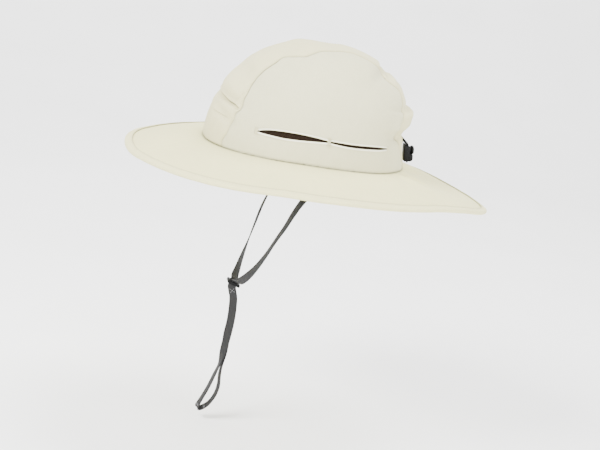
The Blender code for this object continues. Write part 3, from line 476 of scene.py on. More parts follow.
def side_panel_ways():
    """Directions of the left side panel, by row from the brim seam up and by column."""
    turns, shares = side_panel_layout()
    front, top, back = side_panel_edges(turns, shares)
    rows = []
    for row in range(LOWER_ROWS + 2):
        left = turn_of(panel_seam_way(front[row], PANEL_GAP))
        right = turn_of(panel_seam_way(back[row], PANEL_GAP))
        lip = 1 if row > LOWER_ROWS else -1
        part = min(row / LOWER_ROWS, 1)
        rows.append([
            crown_way(left + (right - left) * share, vent_lip(turn, lip) * part)
            for turn, share in zip(turns, shares)
        ])
    bottom = rows[-1]
    top_ways = [panel_seam_way(over, PANEL_GAP) for over in top]
    for row in range(1, UPPER_ROWS + 1):
        rise = row / UPPER_ROWS
        left = panel_seam_way(front[LOWER_ROWS + 1 + row], PANEL_GAP)
        right = panel_seam_way(back[LOWER_ROWS + 1 + row], PANEL_GAP)
        ways = []
        for column, along in enumerate(shares):
            upward = bottom[column] * (1 - rise) + top_ways[column] * rise
            across = left * (1 - along) + right * along
            low = bottom[0] * (1 - along) + bottom[-1] * along
            high = top_ways[0] * (1 - along) + top_ways[-1] * along
            ways.append((upward + across - low * (1 - rise) - high * rise).normalized())
        rows.append(ways)
    return rows


def brim_point(turn, reach):
    """A point of the brim's top, at a share of the way from the crown (0) to the edge (1).

    A negative reach lies under the crown's wall, at its inner face for -1.
    """
    seam = brim_seam_point(turn)
    if reach <= 0:
        inward = Vector((seam.x, seam.y, 0)).normalized() * CROWN_WALL * reach
        return seam + inward
    length = CROWN_HALF_LENGTH + (BRIM_FRONT_WIDTH if abs(turn) < 90 else BRIM_BACK_WIDTH)
    backness = smooth_step((abs(turn) - BRIM_POWER_START) / (BRIM_POWER_END - BRIM_POWER_START))
    power = BRIM_FRONT_POWER + (BRIM_BACK_POWER - BRIM_FRONT_POWER) * backness
    edge_x, edge_y = superellipse(turn, CROWN_HALF_WIDTH + BRIM_SIDE_WIDTH, length, power)
    edge_z = -BRIM_DROP * smooth_value(BRIM_DROPS, abs(turn), "share")
    fall = reach * (1 - BRIM_CURVE) + reach * reach * BRIM_CURVE
    x = seam.x + (edge_x - seam.x) * reach
    y = seam.y + (edge_y - seam.y) * reach
    z = seam.z + (edge_z - seam.z) * fall
    return Vector((x, y, z + brim_wave(turn, reach)))


def brim_wave(turn, reach):
    rise = 0.0
    for wave in BRIM_WAVES:
        round_off = (turn - wave.turn + 180) % 360 - 180
        distance = (round_off / wave.width) ** 2 + ((reach - wave.reach) / wave.length) ** 2
        rise -= BRIM_DROP * wave.depth * math.exp(-distance)
    return rise * smooth_step(reach / 0.12)


def brim_length(turn):
    return (brim_point(turn, 1) - brim_point(turn, 0)).length


def mirrored(point, side):
    return Vector((point.x * side, point.y, point.z))


def smooth_route(stops, step):
    """Points and width directions along a smooth curve through the stops."""
    count = len(stops)
    vectors = [Vector((*stop[:3], *stop[3:6])) for stop in stops]
    lengths = [(vectors[i + 1].xyz - vectors[i].xyz).length for i in range(count - 1)]
    route = []
    for index in range(count - 1):
        before = vectors[max(index - 1, 0)]
        start, end = vectors[index], vectors[index + 1]
        after = vectors[min(index + 2, count - 1)]
        length = lengths[index]
        start_slope = (end - before) / (length + (lengths[index - 1] if index else 0.0))
        past = lengths[index + 1] if index < count - 2 else 0.0
        end_slope = (after - start) / (length + past)
        parts = max(1, round(length / step))
        for part in range(parts):
            t = part / parts
            route.append(
                start * ((1 + 2 * t) * (1 - t) ** 2)
                + start_slope * (length * t * (1 - t) ** 2)
                + end * (t * t * (3 - 2 * t))
                - end_slope * (length * t * t * (1 - t))
            )
    route.append(vectors[-1])
    return [(Vector(row[:3]), Vector(row[3:6])) for row in route]


def strap_seam_stops():
    """Where the left end of the tape is sewn to the inside of the crown."""
    inset = CROWN_WALL + 1.5 * CLEARANCE + STRAP_WALL / 2
    points = [crown_point(crown_way(STRAP_SEAM_TURN, h), inset) for h in STRAP_SEAM_HEIGHTS]
    before, after = (crown_point(round_direction(STRAP_SEAM_TURN + step, 0)) for step in (-2, 2))
    across = (after - before).normalized()
    return [Stop(*point, across.x, across.y, 0) for point in points]


def strap_cheek_stops():
    return [
        stop._replace(
            x=stop.x * CROWN_HALF_WIDTH, y=stop.y * CROWN_HALF_LENGTH, z=stop.z * STRAP_DROP
        )
        for stop in STRAP_CHEEK
    ]


def strap_slider_stops():
    """The tape's way over the slider's left bar and down through the slot inside it."""
    frame = slider_frame()
    across = frame.to_3x3() @ Vector((0, 1, 0))
    face = SLIDER_THICKNESS / 2
    places = [
        (SLIDER_WIDTH * 0.84, face + STRAP_WALL * 2.6),
        ((SLIDER_WIDTH / 2 + SLIDER_SLOT_PLACE + STRAP_WALL) / 2, face + STRAP_WALL * 1.6),
        (SLIDER_SLOT_PLACE + STRAP_WALL / 3, face + STRAP_WALL * 0.75),
        (SLIDER_SLOT_PLACE, face * 0.4),
        (SLIDER_SLOT_PLACE, -face - STRAP_WALL / 6),
    ]
    return [Stop(*(frame @ Vector((x, 0, z))), *across) for x, z in places]


def strap_tail_stops(stops):
    return [
        stop._replace(
            x=stop.x * STRAP_WIDTH,
            y=stop.y * STRAP_TAIL - SLIDER_FORWARD,
            z=stop.z * STRAP_TAIL - STRAP_DROP,
        )
        for stop in stops
    ]


def slider_frame():
    middle = Matrix.Translation((0, -SLIDER_FORWARD, -STRAP_DROP))
    return middle @ Matrix.Rotation(math.radians(-SLIDER_TILT), 4, "X")


def lock_frame():
    """The lock's own frame: from its foot behind the crown, Y outwards, Z up the lock."""
    wall = crown_point(crown_way(180, LOCK_FOOT_HEIGHT))
    foot = Vector((0, wall.y + LOCK_STANDOFF, LOCK_FOOT_HEIGHT))
    return Matrix.Translation(foot) @ Matrix.Rotation(math.radians(LOCK_LEAN), 4, "X")


def cord_depth():
    """How far out from the lock's back the cord runs through it."""
    slot_start = LOCK_FLOOR + CLEARANCE + PLUNGER_TRAVEL + PLUNGER_END_WALL
    return slot_start + CLEARANCE + CORD_DIAMETER / 2


def drawcord_stops():
    """Route of the left strand: out of the crown, down through the lock and round its foot."""
    wall = crown_point(crown_way(CORD_EXIT_TURN, CORD_EXIT_HEIGHT))
    start = wall + Vector((0, CLEARANCE + CORD_DIAMETER / 2, 0))
    frame = lock_frame()
    inside = CORD_SPACING / 2
    depth = cord_depth()
    over_lock = LOCK_HEIGHT + CORD_DIAMETER
    above = frame @ Vector((inside + CORD_DIAMETER / 2, depth - CORD_DIAMETER / 2, over_lock))
    top = frame @ Vector((inside, depth, LOCK_HEIGHT))
    middle = frame @ Vector((inside, depth, LOCK_HEIGHT / 2))
    foot = frame @ Vector((inside, depth, 0))
    return [start, start.lerp(above, 0.5), above, top, middle, foot]


# ---------------------------------------------------------------- finer surfaces of the cloth

Crease = namedtuple("Crease", "depth width lean places")
# Sharp creases of the crown: a depth in metres, a width in degrees, the side that folds over
# (1 the far one, -1 the near one, 0 neither) and the places that it runs through, in degrees
# over from the front and aside from the middle
CREASES = [Crease(*row) for row in (
    (0.0034, 0.66, 1, [(26.6, -7.1), (26.8, 6.2), (27.0, 17.2), (28.0, 23.8), (27.8, 29.2)]),
    (0.0012, 0.80, 1, [(17.0, 7.0), (17.7, 15.2), (18.5, 24.0)]),
    (0.0013, 0.42, -1, [(41.0, 24.3), (36.0, 25.4), (32.0, 24.6), (29.6, 23.0)]),
    (0.0010, 0.40, 1, [(25.9, 24.4), (26.7, 28.6)]),
    (0.0011, 0.60, -1, [(23.2, 8.0), (25.0, 11.5), (26.2, 14.0)]),
    (0.0014, 0.70, 1, [(26.6, -7.1), (27.8, -17.0), (27.0, -28.5)]),
    (0.0008, 0.90, 1, [(18.5, -5.0), (21.5, -16.0), (24.0, -26.0)]),
    (0.0015, 0.90, 0, [(121.4, -13.0), (122.2, 14.0)]),
    (0.0010, 1.00, 0, [(126.5, 2.0), (128.0, 14.0)]),
    (0.0009, 1.10, 0, [(133.0, -8.0), (134.5, 14.0)]),
    (0.0009, 1.00, 0, [(127.5, -3.0), (129.0, -15.0)]),
    (0.0006, 1.60, 0, [(76.0, 17.0), (83.0, 24.0)]),
    (0.0006, 2.20, 0, [(70.0, 27.0), (79.0, 33.0)]),
    (0.0006, 1.60, 0, [(94.0, -8.0), (95.0, 10.0)]),
)]
CREASE_FULL_SHADE_DEPTH = 0.0052  # depth of a crease whose painted shade would be full


def nearest_of_crease(crease, over, side):
    """The distance from a crease in its widths, with its far side positive, and the share
    of the way along it."""
    best = (1e9, 1.0, 0.0)
    count = len(crease.places) - 1
    for number, (start, end) in enumerate(zip(crease.places, crease.places[1:])):
        along_over, along_side = end[0] - start[0], end[1] - start[1]
        off_over, off_side = over - start[0], side - start[1]
        t = (off_over * along_over + off_side * along_side) / (along_over**2 + along_side**2)
        t = min(max(t, 0.0), 1.0)
        off = math.hypot(off_over - along_over * t, off_side - along_side * t)
        if off < best[0]:
            cross = off_over * along_side - off_side * along_over
            hand = 1.0 if cross * (1 if along_side > 0 else -1) > 0 else -1.0
            best = (off, hand, (number + t) / count)
    return best[0] / crease.width, best[1], best[2]


def crease_push(over, side):
    """How far the creases move the cloth's face, and how much painted shade they lay on it."""
    push, dark = 0.0, 0.0
    for crease in CREASES:
        off, hand, along = nearest_of_crease(crease, over, side)
        if off > 8:
            continue
        fade = smooth_step(4 * along + 0.2) * smooth_step(4 * (1 - along) + 0.2)
        if crease.lean:
            fold = math.tanh(off / 0.30) * math.exp(-off / 1.9) * hand * crease.lean
            push += crease.depth * fade * fold * (0.75 if fold > 0 else 1.0)
            # Painted shade in the valley under a fold's ridge.
            if fold < 0:
                deep = math.exp(-(((off - 0.30) / 0.55) ** 2)) * crease.depth / CREASE_FULL_SHADE_DEPTH
                dark = max(dark, fade * deep)
        else:
            ridge = 0.45 * math.exp(-(((off - 2.6) / 1.3) ** 2))
            push -= crease.depth * fade * (math.exp(-off) - ridge)
    return push, dark


def crumple(point, seed, size):
    """Slow unevenness of the cloth, from -1 to 1, with waves of about a size in metres."""
    return noise.noise(point / size + Vector((seed, 2.7 * seed, -seed)))


def seam_tree():
    overs = [step / 2 for step in range(361)]
    points = []
    for over in overs:
        point = crown_point(panel_seam_way(over, 0))
        points += [point, mirrored(point, -1)]
    tree = KDTree(len(points))
    for index, point in enumerate(points):
        tree.insert(point, index)
    tree.balance()
    return tree


PANEL_SEAMS = seam_tree()

def cloth_push(way, base):
    """How far the finished face lies off the frame's, and how much painted shade it gets from the
    seams, the brim seam and the creases.
    """
    over = math.degrees(math.atan2(way.z, -way.y))
    side = math.degrees(math.asin(max(-1.0, min(1.0, way.x))))
    from_seam = PANEL_SEAMS.find(base)[2]
    rise = max(base.z - seam_height(base), 0.0)
    push, dark = crease_push(over, side)
    open_cloth = smooth_step(from_seam / 0.0028)
    push, dark = push * open_cloth, dark * open_cloth
    turn = abs(turn_of(base))
    hidden = smooth_step((turn - 138) / 8) * smooth_step((base.z - 0.036) / 0.005)
    seen = 1 - 0.8 * hidden * smooth_step((0.058 - base.z) / 0.006)
    push += 0.00042 * crumple(base, 1.3, 0.024) + 0.00016 * crumple(base, 4.1, 0.0085)
    push += 0.00030 * math.exp(-from_seam / 0.0055) * crumple(base, 7.7, 0.0062)
    push -= 0.00085 * seen * math.exp(-((from_seam / 0.00085) ** 2))
    push += 0.00022 * math.exp(-(((from_seam - 0.0030) / 0.0018) ** 2))
    push += 0.00034 * math.exp(-rise / 0.0060) * crumple(base, 9.2, 0.0075)
    push -= 0.00050 * math.exp(-((rise / 0.0009) ** 2))
    gathers = smooth_step((turn - 128) / 22) * math.exp(-(((rise - 0.034) / 0.018) ** 2))
    push += 0.0011 * gathers * crumple(Vector((base.x, base.y, base.z * 0.35)), 3.3, 0.0085)
    # Painted shade: the seams, the line along the brim seam and the creases darken the cloth's
    # colour through its seam attribute.
    painted_seam_shade = seen * math.exp(-((from_seam / 0.00070) ** 2))
    return push, max(painted_seam_shade, math.exp(-((rise / 0.00080) ** 2)), dark)


def cloth_sample(way):
    """A point of the crown's finished outer face, and its share of painted shade from seams and
    creases.
    """
    way = way.normalized()
    base = crown_point(way)
    push, shade = cloth_push(way, base)
    return base + way * push, shade


def cloth_point(way):
    return cloth_sample(way)[0]


def cloth_normal(way):
    aside = way.cross(Vector((0, 0, 1)))
    if aside.length < 1e-6:
        aside = Vector((1, 0, 0))
    aside = aside.normalized() * 0.006
    upward = aside.cross(way).normalized() * 0.006
    left, right = crown_point(way + aside), crown_point(way - aside)
    high, low = crown_point(way + upward), crown_point(way - upward)
    normal = (left - right).cross(high - low).normalized()
    return normal if normal.dot(way) > 0 else -normal


def cloth_line(ways, lift):
    """Points some way above the cloth in each of the directions, and its normals there."""
    normals = [cloth_normal(way) for way in ways]
    return [cloth_point(way) + normal * lift for way, normal in zip(ways, normals)], normals


@lru_cache(maxsize=None)
def brim_seam_point(turn):
    seam = crown_point(round_direction(turn, 0))
    seam.z = seam_height(seam) - BRIM_SEAM_GAP
    return seam.freeze()


# Small folds at the back of the brim: degrees round and half width there, and depth in metres
BRIM_FOLDS = [
    (151, 3.2, 0.0013), (158, 3.0, -0.0011), (165, 3.4, 0.0010),
    (-154, 3.4, 0.0010), (-163, 3.2, -0.0009), (140, 4.5, 0.0006),
]
DROOP_TURN = 166  # degrees round to the right where the brim sags most


def brim_folds(turn, reach):
    """The small folds, which run out from the seam."""
    about = (turn + 180) % 360 - 180
    folds = 0.0
    for middle, width, depth in BRIM_FOLDS:
        slant = middle - 9 * (reach - 0.15) * (1 if middle > 0 else -1)
        folds += depth * math.exp(-(((about - slant) / width) ** 2))
    return 1.7 * folds * math.exp(-(((reach - 0.20) / 0.17) ** 2)) * smooth_step(reach / 0.05)


def brim_lie(turn, reach):
    """The brim's droop behind the crown, and the lift of its edge at the sides."""
    turn = (turn + 180) % 360 - 180
    off_back = (turn + DROOP_TURN + 180) % 360 - 180
    droop = 0.0058 * math.exp(-((off_back / 25) ** 2) - ((reach - 0.17) / 0.36) ** 2)
    edge_lift = (
        0.0011 * math.exp(-(((abs(turn) - 95) / 45) ** 2))
        + 0.0026 * math.exp(-(((turn - 139) / 20) ** 2))
        + 0.0024 * math.exp(-(((turn - 36) / 20) ** 2))
    )
    return edge_lift * reach**2 - droop * smooth_step(reach / 0.08)


def fine_brim_point(turn, reach):
    point = brim_point(turn, reach)
    if reach <= 0:
        return point
    lift = brim_folds(turn, reach) + brim_lie(turn, reach)
    lift += 0.00055 * crumple(point, 5.5, 0.034) * smooth_step(reach / 0.2)
    lift += 0.00016 * crumple(point, 8.4, 0.010)
    lift -= 0.0004 * math.exp(-((reach / 0.012) ** 2))
    return point + Vector((0, 0, lift))


def fine_brim_frame(turn, reach):
    out = (fine_brim_point(turn, reach) - fine_brim_point(turn, reach - 0.01)).normalized()
    around = fine_brim_point(turn + 0.5, reach) - fine_brim_point(turn - 0.5, reach)
    return out, around.cross(-out).normalized()


# ---------------------------------------------------------------- mesh helpers

def link(name, mesh):
    thing = bpy.data.objects.new(name, mesh)
    bpy.context.scene.collection.objects.link(thing)
    return thing


def finish_mesh(name, points, faces, uvs, material, smooth=True):
    """An object from points, faces and, for each face, one texture place in metres a corner."""
    mesh = bpy.data.meshes.new(name)
    mesh.from_pydata([tuple(point) for point in points], [], faces)
    if uvs:
        layer = mesh.uv_layers.new(name="weave")
        flat = [value for corners in uvs for corner in corners for value in corner]
        layer.data.foreach_set("uv", flat)
    if smooth:
        mesh.shade_smooth()
    mesh.materials.append(material)
    mesh.update()
    return link(name, mesh)


def row_faces(first, rows, columns, place, closed=True, removed=None):
    """Faces between rows of points that start at an index, and their corners' texture places,
    which a function gives by row and column."""
    faces, uvs = [], []
    for row in range(rows - 1):
        low, high = first + row * columns, first + (row + 1) * columns
        for column in range(columns if closed else columns - 1):
            if removed and removed(row, column):
                continue
            after = (column + 1) % columns
            faces.append((low + column, low + after, high + after, high + column))
            uvs.append((
                place(row, column), place(row, column + 1),
                place(row + 1, column + 1), place(row + 1, column),
            ))
    return faces, uvs


def grid(name, points, places, material, closed=False, removed=None):
    """A surface from rows of points. places gives each one's texture place; a closed surface
    has one more of them in each row than it has points."""
    flat = [point for row in points for point in row]
    faces, uvs = row_faces(
        0, len(points), len(points[0]), lambda row, column: places[row][column], closed, removed
    )
    return finish_mesh(name, flat, faces, uvs, material)


def paint_seam_shade(thing, painted_shades):
    """Stores each point's share of painted shade from seams and creases, by which the cloth's
    material darkens it.
    """
    marks = thing.data.attributes.new("seam", "FLOAT", "POINT")
    marks.data.foreach_set("value", [value for row in painted_shades for value in row])


def thicken(thing, thickness, offset=-1.0):
    solidify = thing.modifiers.new("thickness", "SOLIDIFY")
    solidify.thickness = thickness
    solidify.offset = offset
    solidify.use_even_offset = False
    return thing


def run_lengths(points):
    total, lengths = 0.0, [0.0]
    for before, after in zip(points, points[1:]):
        total += (after - before).length
        lengths.append(total)
    return lengths


def resample(points, normals, pitch):
    """Places every so often along a line, with their normals and the line's way there."""
    lengths = run_lengths(points)
    count = max(2, round(lengths[-1] / pitch))
    found, index = [], 0
    for step in range(count):
        target = lengths[-1] * (step + 0.5) / count
        while index < len(lengths) - 2 and lengths[index + 1] < target:
            index += 1
        span = max(lengths[index + 1] - lengths[index], 1e-9)
        t = (target - lengths[index]) / span
        place = points[index].lerp(points[index + 1], t)
        ahead = (points[index + 1] - points[index]).normalized()
        found.append((place, normals[index].lerp(normals[index + 1], t).normalized(), ahead))
    return found


def sweep(name, points, ups, section, material, closed=False, caps=True):
    """A bar along a line. section holds its outline as (across, up), across being to the right
    of the line seen with up towards the eye."""
    count, around = len(points), len(section)
    lengths = run_lengths(points)
    girth = [0.0]
    for a, b in zip(section, [*section[1:], section[0]]):
        girth.append(girth[-1] + math.hypot(b[0] - a[0], b[1] - a[1]))
    flat = []
    for index, point in enumerate(points):
        before = points[index - 1] if index or closed else point
        after = points[(index + 1) % count] if index < count - 1 or closed else point
        ahead = (after - before).normalized()
        across = ahead.cross(ups[index]).normalized()
        up = across.cross(ahead).normalized()
        flat += [point + across * a + up * b for a, b in section]
    faces, uvs = [], []
    for index in range(count if closed else count - 1):
        nxt = (index + 1) % count
        reach = lengths[index + 1] if index + 1 < count else lengths[-1]
        for side in range(around):
            other = (side + 1) % around
            faces.append((
                index * around + side, nxt * around + side,
                nxt * around + other, index * around + other,
            ))
            uvs.append((
                (lengths[index], girth[side]), (reach, girth[side]),
                (reach, girth[side + 1]), (lengths[index], girth[side + 1]),
            ))
    if caps and not closed:
        for ring, turned in ((0, False), (count - 1, True)):
            ends = [ring * around + side for side in range(around)]
            faces.append(tuple(reversed(ends)) if turned else tuple(ends))
            uvs.append(tuple((lengths[ring], girth[side]) for side in range(around)))
    thing = finish_mesh(name, flat, faces, uvs, material)
    fix = bmesh.new()
    fix.from_mesh(thing.data)
    bmesh.ops.recalc_face_normals(fix, faces=fix.faces)
    fix.to_mesh(thing.data)
    fix.free()
    return thing


def stitches(name, lines, material, pitch, length, thickness):
    """Threads of a sewn line: each one a small rounded bar that dips into the cloth at its ends.
    lines holds (points, normals) pairs."""
    profile = [
        (-0.5, 0.35, -1.0), (-0.42, 0.8, 0.1), (-0.2, 1.0, 0.9), (0.0, 1.05, 1.0),
        (0.2, 1.0, 0.9), (0.42, 0.8, 0.1), (0.5, 0.35, -1.0),
    ]
    sides, sink = 6, 0.00002
    points, faces, uvs = [], [], []
    for route, normals in lines:
        for place, up, ahead in resample(route, normals, pitch):
            across = ahead.cross(up).normalized()
            first = len(points)
            for along, width, lift in profile:
                middle = place + ahead * along * length + up * (thickness * lift - sink)
                for side in range(sides):
                    angle = 2 * math.pi * side / sides
                    points.append(
                        middle
                        + across * math.cos(angle) * thickness * 1.15 * width
                        + up * math.sin(angle) * thickness * width
                    )
            rings = len(profile)
            sheets, marks = row_faces(
                first, rings, sides,
                lambda ring, side: (profile[ring][0] * length, side * thickness),
            )
            faces += sheets
            uvs += marks
            for ring, turned in ((0, True), (rings - 1, False)):
                ends = [first + ring * sides + side for side in range(sides)]
                faces.append(tuple(reversed(ends)) if turned else tuple(ends))
                uvs.append(tuple((0.0, side * thickness) for side in range(sides)))
    return finish_mesh(name, points, faces, uvs, material)


def bar_tack(middle, along, up, length, width, turns):
    """The stitches of a sewn bar, side by side across it, as lines with their normals."""
    across = along.cross(up).normalized()
    lines = []
    for turn in range(turns):
        t = (turn + 0.5) / turns - 0.5
        centre = middle + along * length * t
        ends = [centre - across * width / 2, centre + across * width / 2]
        lines.append((ends, [up, up]))
    return lines


def box_mesh(size, middle=(0, 0, 0)):
    mesh = bmesh.new()
    bmesh.ops.create_cube(mesh, size=1.0, matrix=Matrix.Diagonal((*size, 1.0)))
    bmesh.ops.translate(mesh, verts=mesh.verts, vec=middle)
    return mesh


def hard_thing(name, mesh, place=None, material=None, smooth=False):
    """An object from a bmesh, which is freed."""
    data = bpy.data.meshes.new(name)
    mesh.to_mesh(data)
    mesh.free()
    if smooth:
        data.shade_smooth()
    thing = link(name, data)
    if material:
        data.materials.append(material)
    if place:
        thing.matrix_world = place
    return thing


def combine(thing, other, operation="DIFFERENCE"):
    boolean = thing.modifiers.new("shape", "BOOLEAN")
    boolean.operation = operation
    boolean.solver = "EXACT"
    boolean.object = other


def soften(thing, width, segments, angle):
    """Rounds the edges whose faces turn by more than an angle in degrees."""
    bevel = thing.modifiers.new("soft_edges", "BEVEL")
    bevel.width = width
    bevel.segments = segments
    bevel.limit_method = "ANGLE"
    bevel.angle_limit = math.radians(angle)


def apply_modifiers(thing, helper_name):
    """Turns an object's modifiers into its mesh, and removes the helpers with a name."""
    bpy.context.view_layer.update()
    graph = bpy.context.evaluated_depsgraph_get()
    data = bpy.data.meshes.new_from_object(thing.evaluated_get(graph))
    thing.modifiers.clear()
    thing.data = data
    for helper in [o for o in bpy.data.objects if o.name.split(".")[0] == helper_name]:
        bpy.data.objects.remove(helper, do_unlink=True)


def round_bar(name, radius, start, end, sides, rounding, ribs=0, rib_depth=0.0):
    """A turned bar along Y whose far edge is rounded, with ribs cut along its side."""
    profile = [(0.0, start), (radius, start)]
    steps = 6 if rounding else 1
    for step in range(steps + 1):
        angle = math.pi / 2 * step / steps
        profile.append((
            radius - rounding * (1 - math.cos(angle)), end - rounding * (1 - math.sin(angle))
        ))
    if rounding:
        profile[1] = (radius - rounding * 0.4, start)
        profile.insert(2, (radius, start + rounding * 0.4))
    profile.append((0.0, end))
    mesh = bmesh.new()
    rings = []
    for out, along in profile:
        if out == 0.0:
            rings.append([mesh.verts.new((0, along, 0))])
            continue
        ring = []
        for side in range(sides):
            angle = 2 * math.pi * side / sides
            ribbed = ribs and out > radius * 0.9
            cut = rib_depth * (0.5 - 0.5 * math.cos(ribs * angle)) if ribbed else 0.0
            ring.append(mesh.verts.new((
                (out - cut) * math.sin(angle), along, (out - cut) * math.cos(angle)
            )))
        rings.append(ring)
    for low, high in zip(rings, rings[1:]):
        for side in range(sides):
            other = (side + 1) % sides
            if len(low) == 1:
                mesh.faces.new((low[0], high[other], high[side]))
            elif len(high) == 1:
                mesh.faces.new((low[side], low[other], high[0]))
            else:
                mesh.faces.new((low[side], low[other], high[other], high[side]))
    bmesh.ops.recalc_face_normals(mesh, faces=mesh.faces)
    return hard_thing(name, mesh, None, black_plastic, smooth=True)


# ---------------------------------------------------------------- materials

class Nodes:
    """A material's node tree, with short ways to add nodes to it."""

    def __init__(self, name):
        self.material = bpy.data.materials.new(name)
        self.material.use_nodes = True
        self.tree = self.material.node_tree
        self.shader = self.tree.nodes["Principled BSDF"]

    def add(self, kind, **settings):
        node = self.tree.nodes.new(kind)
        for key, value in settings.items():
            setattr(node, key, value)
        return node

    def feed(self, socket, value):
        if isinstance(value, bpy.types.NodeSocket):
            self.tree.links.new(value, socket)
        else:
            socket.default_value = value

    def math(self, operation, a, b=0.0, clamp=False):
        node = self.add("ShaderNodeMath", operation=operation, use_clamp=clamp)
        self.feed(node.inputs[0], a)
        self.feed(node.inputs[1], b)
        return node.outputs[0]

    def noise(self, where, scale, detail=2.0, roughness=0.5):
        node = self.add("ShaderNodeTexNoise")
        self.feed(node.inputs["Vector"], where)
        self.feed(node.inputs["Scale"], scale)
        self.feed(node.inputs["Detail"], detail)
        self.feed(node.inputs["Roughness"], roughness)
        return node.outputs["Fac"]

    def ramp(self, value, low, high, at=(0.3, 0.7)):
        node = self.add("ShaderNodeValToRGB")
        self.feed(node.inputs["Fac"], value)
        first, last = node.color_ramp.elements
        first.position, last.position = at
        first.color, last.color = (*low, 1.0), (*high, 1.0)
        return node.outputs["Color"]

    def mix(self, kind, share, a, b):
        node = self.add("ShaderNodeMix", data_type="RGBA", blend_type=kind)
        self.feed(node.inputs["Factor"], share)
        self.feed(node.inputs["A"], a)
        self.feed(node.inputs["B"], b)
        return node.outputs["Result"]

    def span(self, value, low, high, start=0.0, end=1.0):
        node = self.add("ShaderNodeMapRange")
        for name, setting in (
            ("Value", value), ("From Min", start), ("From Max", end), ("To Min", low),
            ("To Max", high),
        ):
            self.feed(node.inputs[name], setting)
        return node.outputs["Result"]

    def wave(self, value, pitch):
        """A sine with a pitch in metres."""
        return self.math("SINE", self.math("MULTIPLY", value, 2 * math.pi / pitch))

    def dim(self, share, tone, pattern, color, at=(0.3, 0.7)):
        """A tone multiplied by a share of a pattern that runs from a colour to white."""
        return self.mix("MULTIPLY", share, tone, self.ramp(pattern, color, (1.0, 1.0, 1.0), at))

    def bump(self, height, strength, distance, before=None):
        node = self.add("ShaderNodeBump")
        self.feed(node.inputs["Strength"], strength)
        self.feed(node.inputs["Distance"], distance)
        self.feed(node.inputs["Height"], height)
        if before is not None:
            self.feed(node.inputs["Normal"], before)
        return node.outputs["Normal"]

    def places(self):
        """The texture places in metres, and the point in the object's own frame."""
        coordinates = self.add("ShaderNodeTexCoord")
        split = self.add("ShaderNodeSeparateXYZ")
        self.tree.links.new(coordinates.outputs["UV"], split.inputs[0])
        return split.outputs["X"], split.outputs["Y"], coordinates.outputs["Object"]


    def finish(self, color, roughness, normal, specular=None, sheen=None, sheen_roughness=None):
        for name, setting in (
            ("Base Color", color), ("Roughness", roughness), ("Normal", normal),
            ("Specular IOR Level", specular), ("Sheen Weight", sheen),
            ("Sheen Roughness", sheen_roughness),
        ):
            if setting is not None:
                self.feed(self.shader.inputs[name], setting)
        return self.material


def shade(color, share):
    return tuple(value * share for value in color)


def cloth_material(name, color, pitch=0.00050, weave=0.55):
    """Plain-woven cloth: crossing threads, uneven yarns, a slow drift of tone, and painted shade in
    seams and creases.
    """
    n = Nodes(name)
    u, v, where = n.places()
    threads = n.span(n.math("MULTIPLY", n.wave(u, pitch), n.wave(v, pitch)), 0.0, 1.0, -1.0)
    yarn = n.noise(where, 620.0, 3.0, 0.65)
    slub = n.noise(where, 150.0)
    tone = n.ramp(n.noise(where, 14.0), shade(color, 0.955), color, (0.35, 0.65))
    tone = n.dim(0.55, tone, yarn, (0.90, 0.90, 0.885))
    tone = n.dim(0.45, tone, slub, (0.94, 0.94, 0.93))
    tone = n.dim(0.35, tone, threads, (0.86, 0.86, 0.84), (0.1, 0.75))
    # Painted shade: the seam attribute darkens the tone towards grey in seams, creases, along the
    # brim seam, under the crown's wall and at the binding's inner edge.
    seam = n.add("ShaderNodeAttribute", attribute_name="seam").outputs["Fac"]
    tone = n.mix("MULTIPLY", n.math("MULTIPLY", seam, 0.85), tone, (0.40, 0.41, 0.40, 1.0))
    fuzz = n.bump(yarn, 0.30, 0.00010, n.bump(slub, 0.25, 0.00035))
    normal = n.bump(threads, weave, 0.00010, fuzz)
    return n.finish(tone, n.span(yarn, 0.80, 0.95), normal, 0.25, 0.12, 0.55)


def tape_material(name, dark, light):
    """Woven tape: a fine herringbone along its length, with lighter picks and soft edges."""
    n = Nodes(name)
    u, v, where = n.places()
    twill = n.wave(n.math("ADD", u, n.math("PINGPONG", v, 0.0010)), 0.00085)
    picks = n.math("MULTIPLY", n.wave(u, 0.00055), 0.4)
    lift = n.span(n.math("ADD", twill, picks), 0.0, 1.0, -1.4, 1.4)
    yarn = n.noise(where, 900.0, 3.0, 0.6)
    tone = n.ramp(lift, dark, light, (0.15, 0.85))
    tone = n.dim(0.6, tone, yarn, (0.72, 0.72, 0.72))
    tone = n.dim(0.5, tone, n.noise(where, 60.0), (0.82, 0.82, 0.83))
    normal = n.bump(lift, 0.7, 0.00018, n.bump(yarn, 0.3, 0.00012))
    return n.finish(tone, n.span(yarn, 0.62, 0.85), normal, 0.20, 0.04)


def thread_material(name, color, pitch=0.00042):
    """Twisted sewing thread or yarn."""
    n = Nodes(name)
    u, v, where = n.places()
    lift = n.span(n.wave(n.math("ADD", u, v), pitch), 0.0, 1.0, -1.0)
    fibre = n.noise(where, 1500.0, 2.0, 0.6)
    tone = n.ramp(lift, shade(color, 0.80), color, (0.05, 0.75))
    tone = n.dim(0.5, tone, fibre, (0.82, 0.82, 0.80))
    return n.finish(tone, n.span(fibre, 0.55, 0.80), n.bump(lift, 0.5, 0.00006), 0.10, 0.03)


